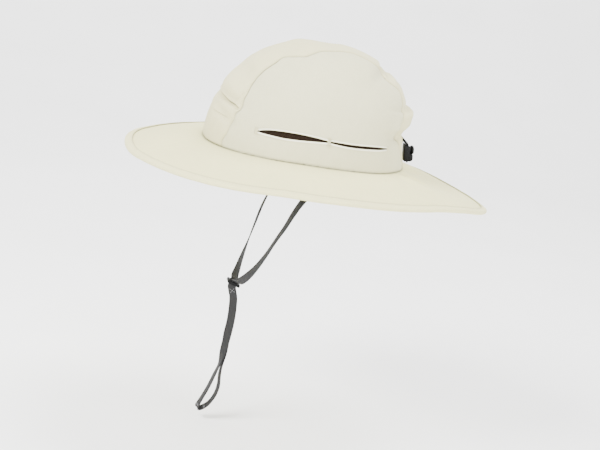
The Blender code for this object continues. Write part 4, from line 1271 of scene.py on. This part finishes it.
def net_cloth_material(name):
    """A knit sheet behind the net's threads: brown yarn, the net's own colour, with rows of
    near-black holes, which are painted shade for the dark inside of the crown.
    """
    n = Nodes(name)
    u, v, where = n.places()
    crossing = n.wave(n.math("ADD", u, v), 0.00110), n.wave(n.math("SUBTRACT", u, v), 0.00110)
    holes = n.span(n.math("MULTIPLY", *crossing), 0.0, 1.0, -1.0)
    yarn = n.noise(where, 1300.0, 2.0, 0.6)
    # The holes are near black: painted shade of the crown's inside seen through the net.
    tone = n.ramp(holes, (0.0012, 0.0008, 0.0006), (0.016, 0.0085, 0.0045), (0.25, 0.8))
    tone = n.dim(0.6, tone, yarn, (0.6, 0.6, 0.6))
    return n.finish(tone, n.span(yarn, 0.75, 0.95), n.bump(holes, 0.6, 0.00012), 0.06)


def plastic_material(name, color):
    """Moulded plastic with a fine spark texture, flow marks and rubbed patches."""
    n = Nodes(name)
    where = n.places()[2]
    flow = n.noise(where, 170.0, 2.0, 0.6)
    rub = n.noise(where, 420.0, 3.0, 0.7)
    tone = n.ramp(flow, shade(color, 0.8), shade(color, 1.5))
    tone = n.mix("MIX", n.math("MULTIPLY", rub, 0.06), tone, (0.020, 0.020, 0.021, 1.0))
    normal = n.bump(n.noise(where, 2600.0), 0.35, 0.00005, n.bump(flow, 0.12, 0.0002))
    return n.finish(tone, n.span(rub, 0.34, 0.58), normal, 0.07)


def floor_material(name):
    n = Nodes(name)
    where = n.places()[2]
    paper = n.noise(where, 6.0, 3.0)
    tone = n.ramp(paper, (0.90, 0.90, 0.895), (0.93, 0.93, 0.93))
    return n.finish(tone, n.span(paper, 0.72, 0.85), n.bump(n.noise(where, 300.0), 0.05, 0.0005))


# One ivory cloth in copies: the side panels' is darker, painted shade for their shaded sides; the
# brim's and binding's are lighter, painted light on the upturned brim; the vent lips' is lighter
# still, a painted highlight on the turned lips.
IVORY = (0.60, 0.562, 0.325)
crown_cloth = cloth_material("crown_cloth", IVORY)
side_cloth = cloth_material("side_cloth", (0.553, 0.531, 0.338), 0.00050, 0.6)
brim_cloth = cloth_material("brim_cloth", (0.672, 0.636, 0.318), 0.00052, 0.5)
lip_cloth = cloth_material("lip_cloth", (0.78, 0.77, 0.62), 0.00046, 0.4)
binding_cloth_painted_light = cloth_material("binding_cloth_painted_light", (0.668, 0.632, 0.330), 0.00046, 0.6)
sewing_thread = thread_material("sewing_thread", (0.60, 0.565, 0.350))
net_yarn = thread_material("net_yarn", (0.034, 0.0200, 0.0110))
net_cloth = net_cloth_material("net_cloth")
grey_tape = tape_material("grey_tape", (0.0050, 0.0049, 0.0050), (0.0208, 0.0204, 0.0202))
grey_thread = thread_material("grey_thread", (0.16, 0.16, 0.165))
black_yarn = thread_material("black_yarn", (0.0025, 0.0025, 0.0028), 0.00060)
black_plastic = plastic_material("black_plastic", (0.0022, 0.0022, 0.0024))


def belongs(thing, slot, *nodes, body="hat"):
    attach(thing, body)
    if nodes:
        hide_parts(*nodes)
    return thing


# ---------------------------------------------------------------- camera

def add_camera():
    """The photograph's view, turned so that the picture's middle lies straight ahead."""
    back = Vector((0.9625, -0.1697, 0.2117))
    right = Vector((0.132, 0.9746, 0.1811))
    up = Vector((-0.2371, -0.1463, 0.9604))
    distance, focal = 1.5, 1500.0  # metres to the origin, and the focal length in pixels
    width, height = 600, 450
    origin_x, origin_y = 303.59, 149.68  # the pixel on which the frame's origin lies
    off_x, off_y = (width / 2 - origin_x) / focal, (height / 2 - origin_y) / focal
    ahead = right * off_x - up * off_y - back
    backward = -ahead.normalized()
    across = (right - backward * right.dot(backward)).normalized()
    upward = backward.cross(across)
    data = bpy.data.cameras.new("camera")
    data.sensor_width = 36
    data.lens = data.sensor_width * focal / width
    data.clip_start = 0.05
    data.clip_end = 50
    camera = link("camera", data)
    place = back.normalized() * distance
    camera.matrix_world = Matrix((
        (across.x, upward.x, backward.x, place.x),
        (across.y, upward.y, backward.y, place.y),
        (across.z, upward.z, backward.z, place.z),
        (0, 0, 0, 1),
    ))
    bpy.context.scene.camera = camera


add_camera()


# ---------------------------------------------------------------- chin strap

def full_strap_stops():
    left = strap_seam_stops() + strap_cheek_stops() + strap_slider_stops()
    right = [stop._replace(x=-stop.x, across_x=-stop.across_x) for stop in left]
    tail = strap_tail_stops(STRAP_TAIL_LEFT) + strap_tail_stops(STRAP_TAIL_RIGHT)[::-1]
    return left + tail + right[::-1]


strap_route = smooth_route(full_strap_stops(), 0.0013)
strap_points = [point for point, _ in strap_route]


def strap_ups(route):
    """The tape's face normals along its route."""
    ups = []
    for index, (point, across) in enumerate(route):
        ahead = route[min(index + 1, len(route) - 1)][0] - route[max(index - 1, 0)][0]
        across = (across - ahead * (across.dot(ahead) / ahead.dot(ahead))).normalized()
        ups.append(across.cross(ahead.normalized()).normalized())
    return ups


strap_normals = strap_ups(strap_route)


def add_chin_strap():
    half, wall = STRAP_WIDTH / 2, STRAP_WALL / 2
    section = [(half * share, wall * 0.92) for share in (-0.80, -0.4, 0.0, 0.4, 0.80)]
    section += [(half * 0.95, wall), (half, wall * 0.5), (half, -wall * 0.5), (half * 0.95, -wall)]
    section += [(half * share, -wall * 0.92) for share in (0.80, 0.4, 0.0, -0.4, -0.80)]
    section += [
        (-half * 0.95, -wall), (-half, -wall * 0.5), (-half, wall * 0.5), (-half * 0.95, wall)
    ]
    strap = sweep("chin_strap_tape", strap_points, strap_normals, section, grey_tape)
    return belongs(strap, "tape", "chin_strap")


chin_strap = add_chin_strap()


def strap_marks():
    """The cross of light thread below the slider, and the sewn bars beside the end's fold."""
    past_slider = next(
        index for index, point in enumerate(strap_points)
        if point.z < -STRAP_DROP - 0.0075 and point.x > 0
    )
    lines = []
    point, up = strap_points[past_slider], strap_normals[past_slider]
    outward = up if up.x > 0 else -up
    ahead = (strap_points[past_slider + 1] - strap_points[past_slider - 1]).normalized()
    across = ahead.cross(outward).normalized()
    face = point + outward * (STRAP_WALL / 2)
    half = STRAP_WIDTH * 0.30
    for tilt in (-1, 1):
        start = face - ahead * half - across * half * tilt
        end = face + ahead * half + across * half * tilt
        lines.append(([start, end], [outward, outward]))
    cross = stitches("strap_cross_stitch", lines, grey_thread, 0.0020, 0.0019, 0.00022)
    end_index = min(range(len(strap_points)), key=lambda i: strap_points[i].z)
    bar_lines = []
    for index in (end_index - 5, end_index + 5):
        point, up = strap_points[index], strap_normals[index]
        outward = up if up.dot(point - strap_points[end_index]) >= 0 else -up
        ahead = (strap_points[index + 1] - strap_points[index - 1]).normalized()
        for side in (outward, -outward):
            face = point + side * STRAP_WALL / 2
            bar_lines += bar_tack(face, ahead, side, 0.0022, STRAP_WIDTH * 0.8, 5)
    bars = stitches("strap_end_bar", bar_lines, grey_thread, 0.0030, 0.0030, 0.00016)
    return [cross, bars]


def add_slider():
    """The plate with its two slots."""
    place = slider_frame()
    plate = box_mesh((SLIDER_WIDTH, SLIDER_LENGTH, SLIDER_THICKNESS))
    bmesh.ops.bevel(
        plate, geom=plate.edges[:], offset=SLIDER_BEVEL * 1.05, segments=5, affect="EDGES",
        profile=0.5,
    )
    slider = hard_thing("slider_plate", plate, place, black_plastic, smooth=True)
    slot = (
        STRAP_WALL + 2 * SLIDER_SLOT_ROOM, STRAP_WIDTH + 2 * SLIDER_SLOT_ROOM,
        2 * SLIDER_THICKNESS,
    )
    for side in (-1, 1):
        cutter = box_mesh(slot, (side * SLIDER_SLOT_PLACE, 0, 0))
        combine(slider, hard_thing("slot_cutter", cutter, place))
    apply_modifiers(slider, "slot_cutter")
    soften(slider, 0.00025, 2, 50)
    return belongs(slider, "plastic", "strap_slider")


slider = add_slider()
marks = strap_marks()
for mark in marks:
    belongs(mark, "tape")


# ---------------------------------------------------------------- drawcord and its lock

def drawcord_route():
    left = [Stop(*point, 0, 0, 0) for point in drawcord_stops()]
    strand = [point for point, _ in smooth_route(left, CORD_STEP)]
    foot = lock_frame() @ Vector((0, cord_depth(), 0))
    down = lock_frame().to_3x3() @ Vector((0, 0, -1))
    turn = []
    for part in range(1, CORD_TURN_PARTS):
        angle = math.pi * part / CORD_TURN_PARTS
        aside = Vector((math.cos(angle), 0, 0))
        turn.append(foot + (aside + down * math.sin(angle)) * CORD_SPACING / 2)
    return strand + turn + [mirrored(point, -1) for point in reversed(strand)]


cord_route = drawcord_route()


def add_drawcord():
    """A round braid: yarns wound both ways round the cord's line, over and under each other."""
    stops = [Stop(*point, 0, 0, 0) for point in cord_route]
    line = [point for point, _ in smooth_route(stops, 0.00032)]
    lengths = run_lengths(line)
    side = Vector((0, -1, 0))
    sides, ups = [], []
    for index, point in enumerate(line):
        ahead = (line[min(index + 1, len(line) - 1)] - line[max(index - 1, 0)]).normalized()
        side = (side - ahead * side.dot(ahead)).normalized()
        sides.append(side.copy())
        ups.append(ahead.cross(side).normalized())
    yarns, lay = 8, 0.0062  # lay is the length of a yarn's turn round the cord
    yarn_radius, core = CORD_DIAMETER * 0.205, CORD_DIAMETER * 0.285
    into_lock = lock_frame().inverted()
    swell = [
        1 + 0.4 * smooth_step(((into_lock @ point).z - LOCK_HEIGHT - 0.0006) / 0.0030)
        for point in line
    ]
    around = 6
    points, faces, uvs = [], [], []
    for hand in (-1, 1):
        for yarn in range(yarns // 2):
            start = 2 * math.pi * yarn / (yarns // 2) + (0.4 if hand > 0 else 0.0)
            centres = []
            for index, point in enumerate(line):
                turn = 2 * math.pi * lengths[index] / lay
                angle = start + hand * turn
                lift = 0.16 * yarn_radius * math.sin(2 * turn * yarns / 4 + yarn * math.pi) * hand
                out = (core + lift) * swell[index]
                aside = sides[index] * math.cos(angle) * out
                centres.append(point + aside + ups[index] * math.sin(angle) * out)
            first = len(points)
            for index, centre in enumerate(centres):
                after = centres[min(index + 1, len(centres) - 1)]
                ahead = (after - centres[max(index - 1, 0)]).normalized()
                outward = (centre - line[index]).normalized()
                outward = (outward - ahead * outward.dot(ahead)).normalized()
                across = ahead.cross(outward)
                for step in range(around):
                    angle = 2 * math.pi * step / around
                    points.append(
                        centre
                        + outward * math.cos(angle) * yarn_radius * swell[index] * 0.9
                        + across * math.sin(angle) * yarn_radius * swell[index] * 1.35
                    )
            sheets, marks = row_faces(
                first, len(centres), around, lambda index, step: (lengths[index], step * 0.0002)
            )
            faces += sheets
            uvs += marks
    cord = finish_mesh("drawcord_braid", points, faces, uvs, black_yarn)
    return belongs(cord, "cord", "drawcord"), line


def add_lock():
    """The lock's housing with rounded edges, as in the frame, with softer corners."""
    place = lock_frame()
    foot, shoulder = 0.0030, 0.0024  # the rounding at the foot, and the slope above the top
    outline = [(0, 0)]
    for step in range(6):
        angle = math.pi / 2 * (step / 5 - 1)
        outline.append((
            LOCK_LEDGE_DEPTH - foot + foot * math.cos(angle), foot + foot * math.sin(angle)
        ))
    outline += [
        (LOCK_LEDGE_DEPTH, LEDGE_SIDE_HEIGHT - LOCK_LEDGE_ROUND * 0.6),
        (LOCK_LEDGE_DEPTH - LOCK_LEDGE_ROUND * 0.6, LEDGE_SIDE_HEIGHT),
        (LOCK_CHEEK_DEPTH, LEDGE_SIDE_HEIGHT + LOCK_LEDGE_ROUND * 0.1),
        (LOCK_CHEEK_DEPTH, LOCK_HEIGHT),
        (LOCK_CHEEK_DEPTH * 0.7, LOCK_HEIGHT + 0.0002),
        (0, LOCK_HEIGHT + shoulder),
    ]
    mesh = bmesh.new()
    corners = [mesh.verts.new((-LOCK_WIDTH / 2, out, up)) for out, up in outline]
    face = mesh.faces.new(corners)
    grown = bmesh.ops.extrude_face_region(mesh, geom=[face])
    moved = [item for item in grown["geom"] if isinstance(item, bmesh.types.BMVert)]
    bmesh.ops.translate(mesh, verts=moved, vec=(LOCK_WIDTH, 0, 0))
    bmesh.ops.recalc_face_normals(mesh, faces=mesh.faces)
    housing = hard_thing("lock_housing", mesh, place, black_plastic)
    soften(housing, LOCK_BEVEL * 0.8, 5, 40)
    boss = round_bar("lock_cutter", BOSS_RADIUS, LOCK_CHEEK_DEPTH / 2, LOCK_DEPTH, 64, 0)
    bore = round_bar(
        "lock_cutter", PLUNGER_RADIUS + CLEARANCE, LOCK_FLOOR, 2 * LOCK_DEPTH, 48, 0
    )
    hollow = round_bar(
        "lock_cutter", PLUNGER_HEAD_RADIUS + HEAD_EXTRA + CLEARANCE, LOCK_CHEEK_DEPTH - 0.00005,
        2 * LOCK_DEPTH, 96, 0,
    )
    for turned in (hollow, boss, bore):
        turned.matrix_world = place @ Matrix.Translation((0, 0, PLUNGER_HEIGHT))
    room = CORD_DIAMETER + 2 * CLEARANCE
    slot = box_mesh((CORD_SPACING + room, room, 4 * LOCK_HEIGHT), (0, cord_depth(), 0))
    upright = [
        edge for edge in slot.edges
        if abs(edge.verts[0].co.z - edge.verts[1].co.z) > LOCK_HEIGHT
    ]
    bmesh.ops.bevel(slot, geom=upright, offset=room * 0.35, segments=4, affect="EDGES", profile=0.5)
    combine(housing, hollow)
    combine(housing, boss, "UNION")
    combine(housing, bore)
    combine(housing, hard_thing("lock_cutter", slot, place))
    apply_modifiers(housing, "lock_cutter")
    soften(housing, 0.0002, 2, 50)
    housing.data.shade_smooth()
    return belongs(housing, "plastic", "cord_lock")


def add_plunger():
    """The button with its ribbed rim, and the stem that the cord passes through."""
    place = lock_frame() @ Matrix.Translation((0, 0, PLUNGER_HEIGHT))
    stem_end = LOCK_FLOOR + CLEARANCE + PLUNGER_TRAVEL
    head_start = LOCK_DEPTH + CLEARANCE + PLUNGER_TRAVEL
    head = round_bar(
        "plunger_button", PLUNGER_HEAD_RADIUS + HEAD_EXTRA, head_start - RIM_LENGTH,
        head_start + PLUNGER_HEAD_DEPTH, 96, PLUNGER_HEAD_DEPTH, 24, 0.00022,
    )
    hollow = round_bar(
        "plunger_helper", BOSS_RADIUS + CLEARANCE, head_start - 2 * RIM_LENGTH, head_start, 64, 0
    )
    stem = round_bar(
        "plunger_helper", PLUNGER_RADIUS, stem_end, head_start + PLUNGER_HEAD_DEPTH / 2, 48, 0
    )
    for turned in (hollow, head, stem):
        turned.matrix_world = place
    width = CORD_SPACING + CORD_DIAMETER + 2 * CLEARANCE
    length = CORD_DIAMETER + PLUNGER_TRAVEL + 2 * CLEARANCE
    middle = stem_end + PLUNGER_END_WALL + length / 2
    slot = box_mesh((width, length, 4 * PLUNGER_RADIUS), (0, middle, 0))
    combine(head, hollow)
    combine(head, stem, "UNION")
    combine(head, hard_thing("plunger_helper", slot, place))
    apply_modifiers(head, "plunger_helper")
    return belongs(head, "plastic", "lock_plunger", body="plunger")


drawcord, braid_line = add_drawcord()
lock = add_lock()
plunger = add_plunger()

run_lengths(strap_points)[-1]
run_lengths(braid_line)[-1]


# ---------------------------------------------------------------- crown

def seam_spread(share):
    """Spreads the columns from -1 to 1, with more of them near the two seams."""
    place = 2 * share - 1
    return place + 0.30 * math.sin(math.pi * place) / math.pi


def panel_places(points):
    """Texture places of a panel's rows of points, in metres from its middle column."""
    middle = len(points[0]) // 2
    places = []
    for row, length in zip(points, run_lengths([row[middle] for row in points])):
        lengths = run_lengths(row)
        places.append([(value - lengths[middle], length) for value in lengths])
    return places


def add_centre_panel():
    overs = [0.0]
    for end, count in CENTRE_ROW_SPANS:
        start = overs[-1]
        overs += [start + (end - start) * step / count for step in range(1, count + 1)]
    points, painted_shades = [], []
    for over in overs:
        limit = math.degrees(math.asin(panel_seam_way(over, 0).x))
        row = [
            cloth_sample(direction(over, limit * seam_spread(column / CENTRE_COLUMNS)))
            for column in range(CENTRE_COLUMNS + 1)
        ]
        points.append([point for point, _ in row])
        painted_shades.append([shade for _, shade in row])
    panel = grid("crown_centre_cloth", points, panel_places(points), crown_cloth)
    paint_seam_shade(panel, painted_shades)
    return belongs(thicken(panel, CROWN_WALL), "crown_cloth", "centre_panel")


def add_side_panel(side, hand, ways):
    columns = sum(VENT_SPANS)
    bar = VENT_SPANS[0] + VENT_SPANS[1]

    def own_column(column, last):
        return column if side > 0 else last - column

    def in_slit(row, column):
        column = own_column(column, columns - 1)
        inside = VENT_SPANS[0] <= column < columns - VENT_SPANS[-1]
        return row == LOWER_ROWS and inside and not bar <= column < bar + VENT_SPANS[2]

    def placed(way):
        point, shade = cloth_sample(mirrored(way, side))
        over = math.degrees(math.atan2(way.z, -way.y))
        edge = CROWN_HALF_WIDTH * smooth_value(CENTRE_PANEL_WIDTHS, over, "share")
        if way.normalized().x * smooth_radius(way) < edge - 0.0001:
            point -= point.normalized() * 0.0006
        return point, shade

    points, painted_shades = [], []
    for row in ways:
        line = [placed(way) for way in row][::side]
        points.append([point for point, _ in line])
        painted_shades.append([shade for _, shade in line])
    panel = grid(
        f"crown_side_cloth_{hand}", points, panel_places(points), side_cloth, removed=in_slit
    )
    paint_seam_shade(panel, painted_shades)
    return belongs(thicken(panel, CROWN_WALL), "side_cloth", f"side_panel_{hand}")


def lip_line(side, start, end, side_of_slit, off, lift, count=72):
    """Points and normals along a vent's lip, some way off it and above the cloth."""
    turns = [start + (end - start) * step / count for step in range(count + 1)]
    heights = [vent_lip(turn, side_of_slit) + side_of_slit * off for turn in turns]
    return cloth_line([mirrored(crown_way(*at), side) for at in zip(turns, heights)], lift)


def add_vent_trim(side, hand):
    """The turned lips of the slits, the lines of stitches beside them and their sewn ends."""
    section = [
        (-0.00070, -0.0007), (-0.00085, 0.0), (-0.00070, 0.00040), (-0.0003, 0.00064),
        (0.0002, 0.00064), (0.0006, 0.00040), (0.0008, -0.0001), (0.0007, -0.0007),
    ]
    trims, lines = [], []
    slits = ((VENT_FRONT, VENT_BAR_START), (VENT_BAR_END, VENT_BACK))
    for number, (start, end) in enumerate(slits):
        for side_of_slit, where in ((-1, "lower"), (1, "upper")):
            points, normals = lip_line(
                side, start - 0.6, end + 0.6, side_of_slit, 0.0009, -0.0001
            )
            mirror = side * side_of_slit
            outline = [(across * mirror, up) for across, up in section]
            lip = sweep(f"vent_lip_{hand}_{number}_{where}", points, normals, outline, lip_cloth)
            trims.append(belongs(lip, "side_cloth"))
            lines.append(lip_line(side, start - 0.4, end + 0.4, side_of_slit, 0.0019, 0.00055))
    thread = stitches(f"vent_stitches_{hand}", lines, sewing_thread, 0.0026, 0.0019, 0.00016)
    trims.append(belongs(thread, "side_cloth"))
    tacks = []
    for turn, width, length in (
        (VENT_FRONT - 0.6, 0.0009, 0.0060), ((VENT_BAR_START + VENT_BAR_END) / 2, 0.0009, 0.0090),
        (VENT_BACK + 0.7, 0.0009, 0.0040),
    ):
        low, high = (
            mirrored(crown_way(turn, vent_height(turn) + rise), side)
            for rise in (-length / 2, length / 2)
        )
        middle_way = (low + high).normalized()
        normal = cloth_normal(middle_way)
        middle = cloth_point(middle_way) + normal * 0.00085
        upward = (cloth_point(high) - cloth_point(low)).normalized()
        tacks += bar_tack(middle, upward, normal, length, width, 15)
    tack = stitches(f"vent_bar_tacks_{hand}", tacks, sewing_thread, 0.0030, 0.0028, 0.00019)
    trims.append(belongs(tack, "side_cloth"))
    return trims


def add_net_backing(side, hand):
    """A dark knit sheet that the net's threads lie on, which stands in for the shade inside the
    crown.
    """
    inset = CROWN_WALL + 2 * CLEARANCE + MESH_WALL * 0.75
    rows, columns = 12, 120
    points = []
    for row in range(rows + 1):
        line = []
        for column in range(columns + 1):
            turn = MESH_START + (MESH_END - MESH_START) * column / columns
            way = crown_way(turn, vent_height(turn) + MESH_REACH * (2 * row / rows - 1))
            point = crown_point(way, inset)
            point += way * 0.00012 * crumple(point, 2.2, 0.009)
            line.append(mirrored(point, side))
        points.append(line[::side])
    along = run_lengths([row[columns // 2] for row in points])
    places = [[(value, length) for value in run_lengths(row)] for row, length in zip(points, along)]
    backing = grid(f"vent_knit_{hand}", points, places, net_cloth)
    return belongs(thicken(backing, MESH_WALL * 0.4), "net", f"vent_mesh_{hand}")


def add_net(side, hand):
    """The net's threads over the knit: a lattice with open holes."""
    columns = round(math.radians(MESH_END - MESH_START) * NET_RADIUS / NET_CELL)
    rows = round(2 * MESH_REACH / NET_CELL)
    inset = CROWN_WALL + 2 * CLEARANCE + MESH_WALL * 0.35
    points, index = [], {}
    for row in range(rows + 1):
        for column in range(columns + 1):
            if (row + column) % 2:
                continue
            turn = MESH_START + (MESH_END - MESH_START) * column / columns
            way = crown_way(turn, vent_height(turn) + MESH_REACH * (2 * row / rows - 1))
            index[row, column] = len(points)
            points.append(crown_point(mirrored(way, side), inset))
    faces = []
    for row in range(1, rows):
        for column in range(1, columns):
            if (row + column) % 2:
                corners = (
                    index[row - 1, column], index[row, column + 1],
                    index[row + 1, column], index[row, column - 1],
                )
                faces.append(corners if side > 0 else corners[::-1])
    net = finish_mesh(f"vent_net_{hand}", points, faces, None, net_yarn)
    wire = net.modifiers.new("threads", "WIREFRAME")
    wire.thickness = 0.00034
    wire.use_even_offset = False
    wire.use_boundary = True
    return belongs(net, "net", f"vent_mesh_{hand}")


def panel_seam_lines(off, lift):
    """A line beside the seam on the centre panel's left, and its mirror image."""
    ways = []
    for step in range(SEAM_STEPS + 1):
        over = 1.0 + 178 * step / SEAM_STEPS
        width = CROWN_HALF_WIDTH * smooth_value(CENTRE_PANEL_WIDTHS, over, "share") + off
        aside = math.asin(width / smooth_radius(panel_seam_way(over, 0)))
        ways.append(direction(over, math.degrees(aside)))
    return [cloth_line([mirrored(way, side) for way in ways], lift) for side in (1, -1)]


def brim_seam_line(rise, lift):
    """A line round the crown, some way above its seam with the brim."""
    turns = [360 * step / SEAM_STEPS - 180 for step in range(SEAM_STEPS + 1)]
    seam = [SEAM_RISE * math.sin(math.radians(turn)) ** 2 for turn in turns]
    return cloth_line([crown_way(turn, rise + low) for turn, low in zip(turns, seam)], lift)


add_centre_panel()
panel_ways = side_panel_ways()
for hand_side, hand_name in ((1, "left"), (-1, "right")):
    add_side_panel(hand_side, hand_name, panel_ways)
    add_vent_trim(hand_side, hand_name)
    add_net_backing(hand_side, hand_name)
    add_net(hand_side, hand_name)

seam_stitches = stitches(
    "crown_seam_stitches", panel_seam_lines(-0.0017, 0.00006), sewing_thread,
    0.0026, 0.0019, 0.00013,
)
belongs(seam_stitches, "crown_cloth")
base_stitches = stitches(
    "crown_base_stitches", [brim_seam_line(0.0019, 0.00006)], sewing_thread,
    0.0028, 0.0021, 0.00014,
)
belongs(base_stitches, "crown_cloth")


# ---------------------------------------------------------------- eyelets of the drawcord

def add_eyelets():
    """A ring of thread round each hole that the cord leaves the crown by."""
    lines = []
    for side in (1, -1):
        way = crown_way(CORD_EXIT_TURN, CORD_EXIT_HEIGHT)
        way = mirrored(way, side)
        normal = cloth_normal(way)
        centre = cloth_point(way)
        across = normal.cross(Vector((0, 0, 1))).normalized()
        upward = across.cross(normal).normalized()
        for spoke in range(22):
            angle = 2 * math.pi * spoke / 22
            out = across * math.cos(angle) + upward * math.sin(angle)
            start, end = centre + out * 0.0012, centre + out * 0.0029
            lifted = normal * 0.0001
            lines.append(([start + lifted, end + lifted], [normal, normal]))
    ring = stitches("cord_eyelets", lines, sewing_thread, 0.0030, 0.0018, 0.00024)
    return belongs(ring, "crown_cloth")


add_eyelets()


# ---------------------------------------------------------------- brim and its binding

def add_brim():
    inset = BINDING_WALL + CLEARANCE + BRIM_WALL / 2
    points, painted_shades, places = [], [], []
    for row in range(BRIM_ROWS + 3):
        line, dark = [], []
        for column in range(BRIM_COLUMNS):
            turn = 360 * column / BRIM_COLUMNS - 180
            if row > BRIM_ROWS:
                flange = row - BRIM_ROWS - 1
                line.append(brim_point(turn, -1 - 0.7 * flange) + Vector((0, 0, 0.0019 * flange)))
                # Painted shade: the flange under the crown's wall is fully dark.
                dark.append(1.0)
                continue
            length = brim_length(turn)
            reach = (1 - (row / BRIM_ROWS) ** 0.85) * (1 - inset / length)
            line.append(fine_brim_point(turn, reach))
            # Painted shade along the brim seam.
            dark.append(math.exp(-((reach * length / 0.0011) ** 2)))
        points.append(line)
        painted_shades.append(dark)
        places.append([(point.x, point.y) for point in [*line, line[0]]])
    brim = grid("brim_sheet", points, places, brim_cloth, closed=True)
    paint_seam_shade(brim, painted_shades)
    return belongs(thicken(brim, BRIM_WALL), "brim_cloth", "brim")


def fine_binding_section():
    half = BRIM_WALL / 2 + CLEARANCE + BINDING_WALL
    leg = BINDING_WIDTH - half
    legs = [leg * row / 8 for row in range(1, 9)]
    steps = [(half + reach, -half) for reach in reversed(legs)]
    for row in range(13):
        angle = math.pi * row / 12
        steps.append((half - half * math.sin(angle), -half * math.cos(angle)))
    return steps + [(half + reach, half) for reach in legs]


def add_binding():
    section = fine_binding_section()
    girth = run_lengths([Vector((inward, up, 0)) for inward, up in section])
    points, painted_shades, places, frames = [], [], [], []
    for column in range(BINDING_COLUMNS):
        turn = 360 * column / BINDING_COLUMNS - 180
        length = brim_length(turn)
        reach = 1 - (BINDING_WIDTH / 2) / length
        out, up = fine_brim_frame(turn, reach)
        frames.append((turn, length, out, up))
    edge_turns = [turn for turn, *_ in frames] + [-180]
    edge = run_lengths([fine_brim_point(turn, 1) for turn in edge_turns])
    for number, (inward, rise) in enumerate(section):
        line = []
        for turn, length, out, up in frames:
            reach = 1 - inward / length
            point = fine_brim_point(turn, reach)
            seat = math.exp(-(((inward - BINDING_WIDTH + BINDING_STITCH_EDGE) / 0.0008) ** 2))
            near = math.exp(-(((inward - BINDING_WIDTH) / 0.0035) ** 2))
            pucker = 0.00016 * near * crumple(point, 6.1, 0.0048) * math.copysign(1, rise)
            sunk = -0.00016 * seat * math.copysign(1, rise)
            line.append(point + up * (rise - BRIM_WALL / 2 + pucker + sunk))
        points.append(line)
        # Painted shade along the binding's inner edge.
        dark = 0.8 * math.exp(-(((inward - BINDING_WIDTH) / 0.0006) ** 2))
        painted_shades.append([dark] * BINDING_COLUMNS)
        places.append([(value, girth[number]) for value in edge])
    binding = grid("brim_binding_tape", points, places, binding_cloth_painted_light, closed=True)
    paint_seam_shade(binding, painted_shades)
    return belongs(thicken(binding, BINDING_WALL), "brim_cloth", "brim_binding")


def binding_stitch_lines():
    half = BRIM_WALL / 2 + CLEARANCE + BINDING_WALL
    lines = []
    for side in (1, -1):
        points, normals = [], []
        for step in range(901):
            turn = 0.4 * step - 180
            reach = 1 - (BINDING_WIDTH - BINDING_STITCH_EDGE) / brim_length(turn)
            _, up = fine_brim_frame(turn, reach)
            height = half * side - BRIM_WALL / 2 - 0.00012 * side
            points.append(fine_brim_point(turn, reach) + up * height)
            normals.append(up * side)
        lines.append((points, normals))
    return lines


add_brim()
add_binding()
binding_stitches = stitches(
    "binding_stitches", binding_stitch_lines(), sewing_thread, 0.0031, 0.0023, 0.00017
)
belongs(binding_stitches, "brim_cloth")


# ---------------------------------------------------------------- floor and light

def add_floor():
    level, front, back, side = -0.300, 3.0, -3.6, 6.0
    profile = [(front, level), (back * 0.35, level)]
    for step in range(1, 13):
        angle = math.pi / 2 * step / 12
        profile.append((back * 0.35 - 1.2 * math.sin(angle), level + 1.2 * (1 - math.cos(angle))))
    profile.append((profile[-1][0], 3.2))
    points, faces = [], []
    for out, up in profile:
        points += [(out, -side, up), (out, side, up)]
    for step in range(len(profile) - 1):
        faces.append((2 * step, 2 * step + 1, 2 * step + 3, 2 * step + 2))
    floor = finish_mesh("floor", points, faces, None, floor_material("paper"))


def add_light(name, place, target, size, energy):
    data = bpy.data.lights.new(name, "AREA")
    data.shape = "DISK"
    data.size = size
    data.energy = energy
    lamp = link(name, data)
    lamp.location = place
    lamp.rotation_mode = "QUATERNION"
    lamp.rotation_quaternion = (Vector(target) - Vector(place)).to_track_quat("-Z", "Y")


add_floor()
add_light("key", (0.9, -1.5, 1.5), (0, 0, 0), 1.0, 130)
add_light("fill", (1.9, 0.7, 0.30), (0, 0, 0.02), 1.5, 80)
add_light("top", (-0.3, 0.5, 2.0), (0, 0, 0), 1.2, 72)
world = bpy.data.worlds.new("studio")
world.use_nodes = True
world.node_tree.nodes["Background"].inputs["Color"].default_value = (1.0, 1.0, 1.0, 1.0)
world.node_tree.nodes["Background"].inputs["Strength"].default_value = 1.75
bpy.context.scene.world = world

bpy.context.view_layer.update()
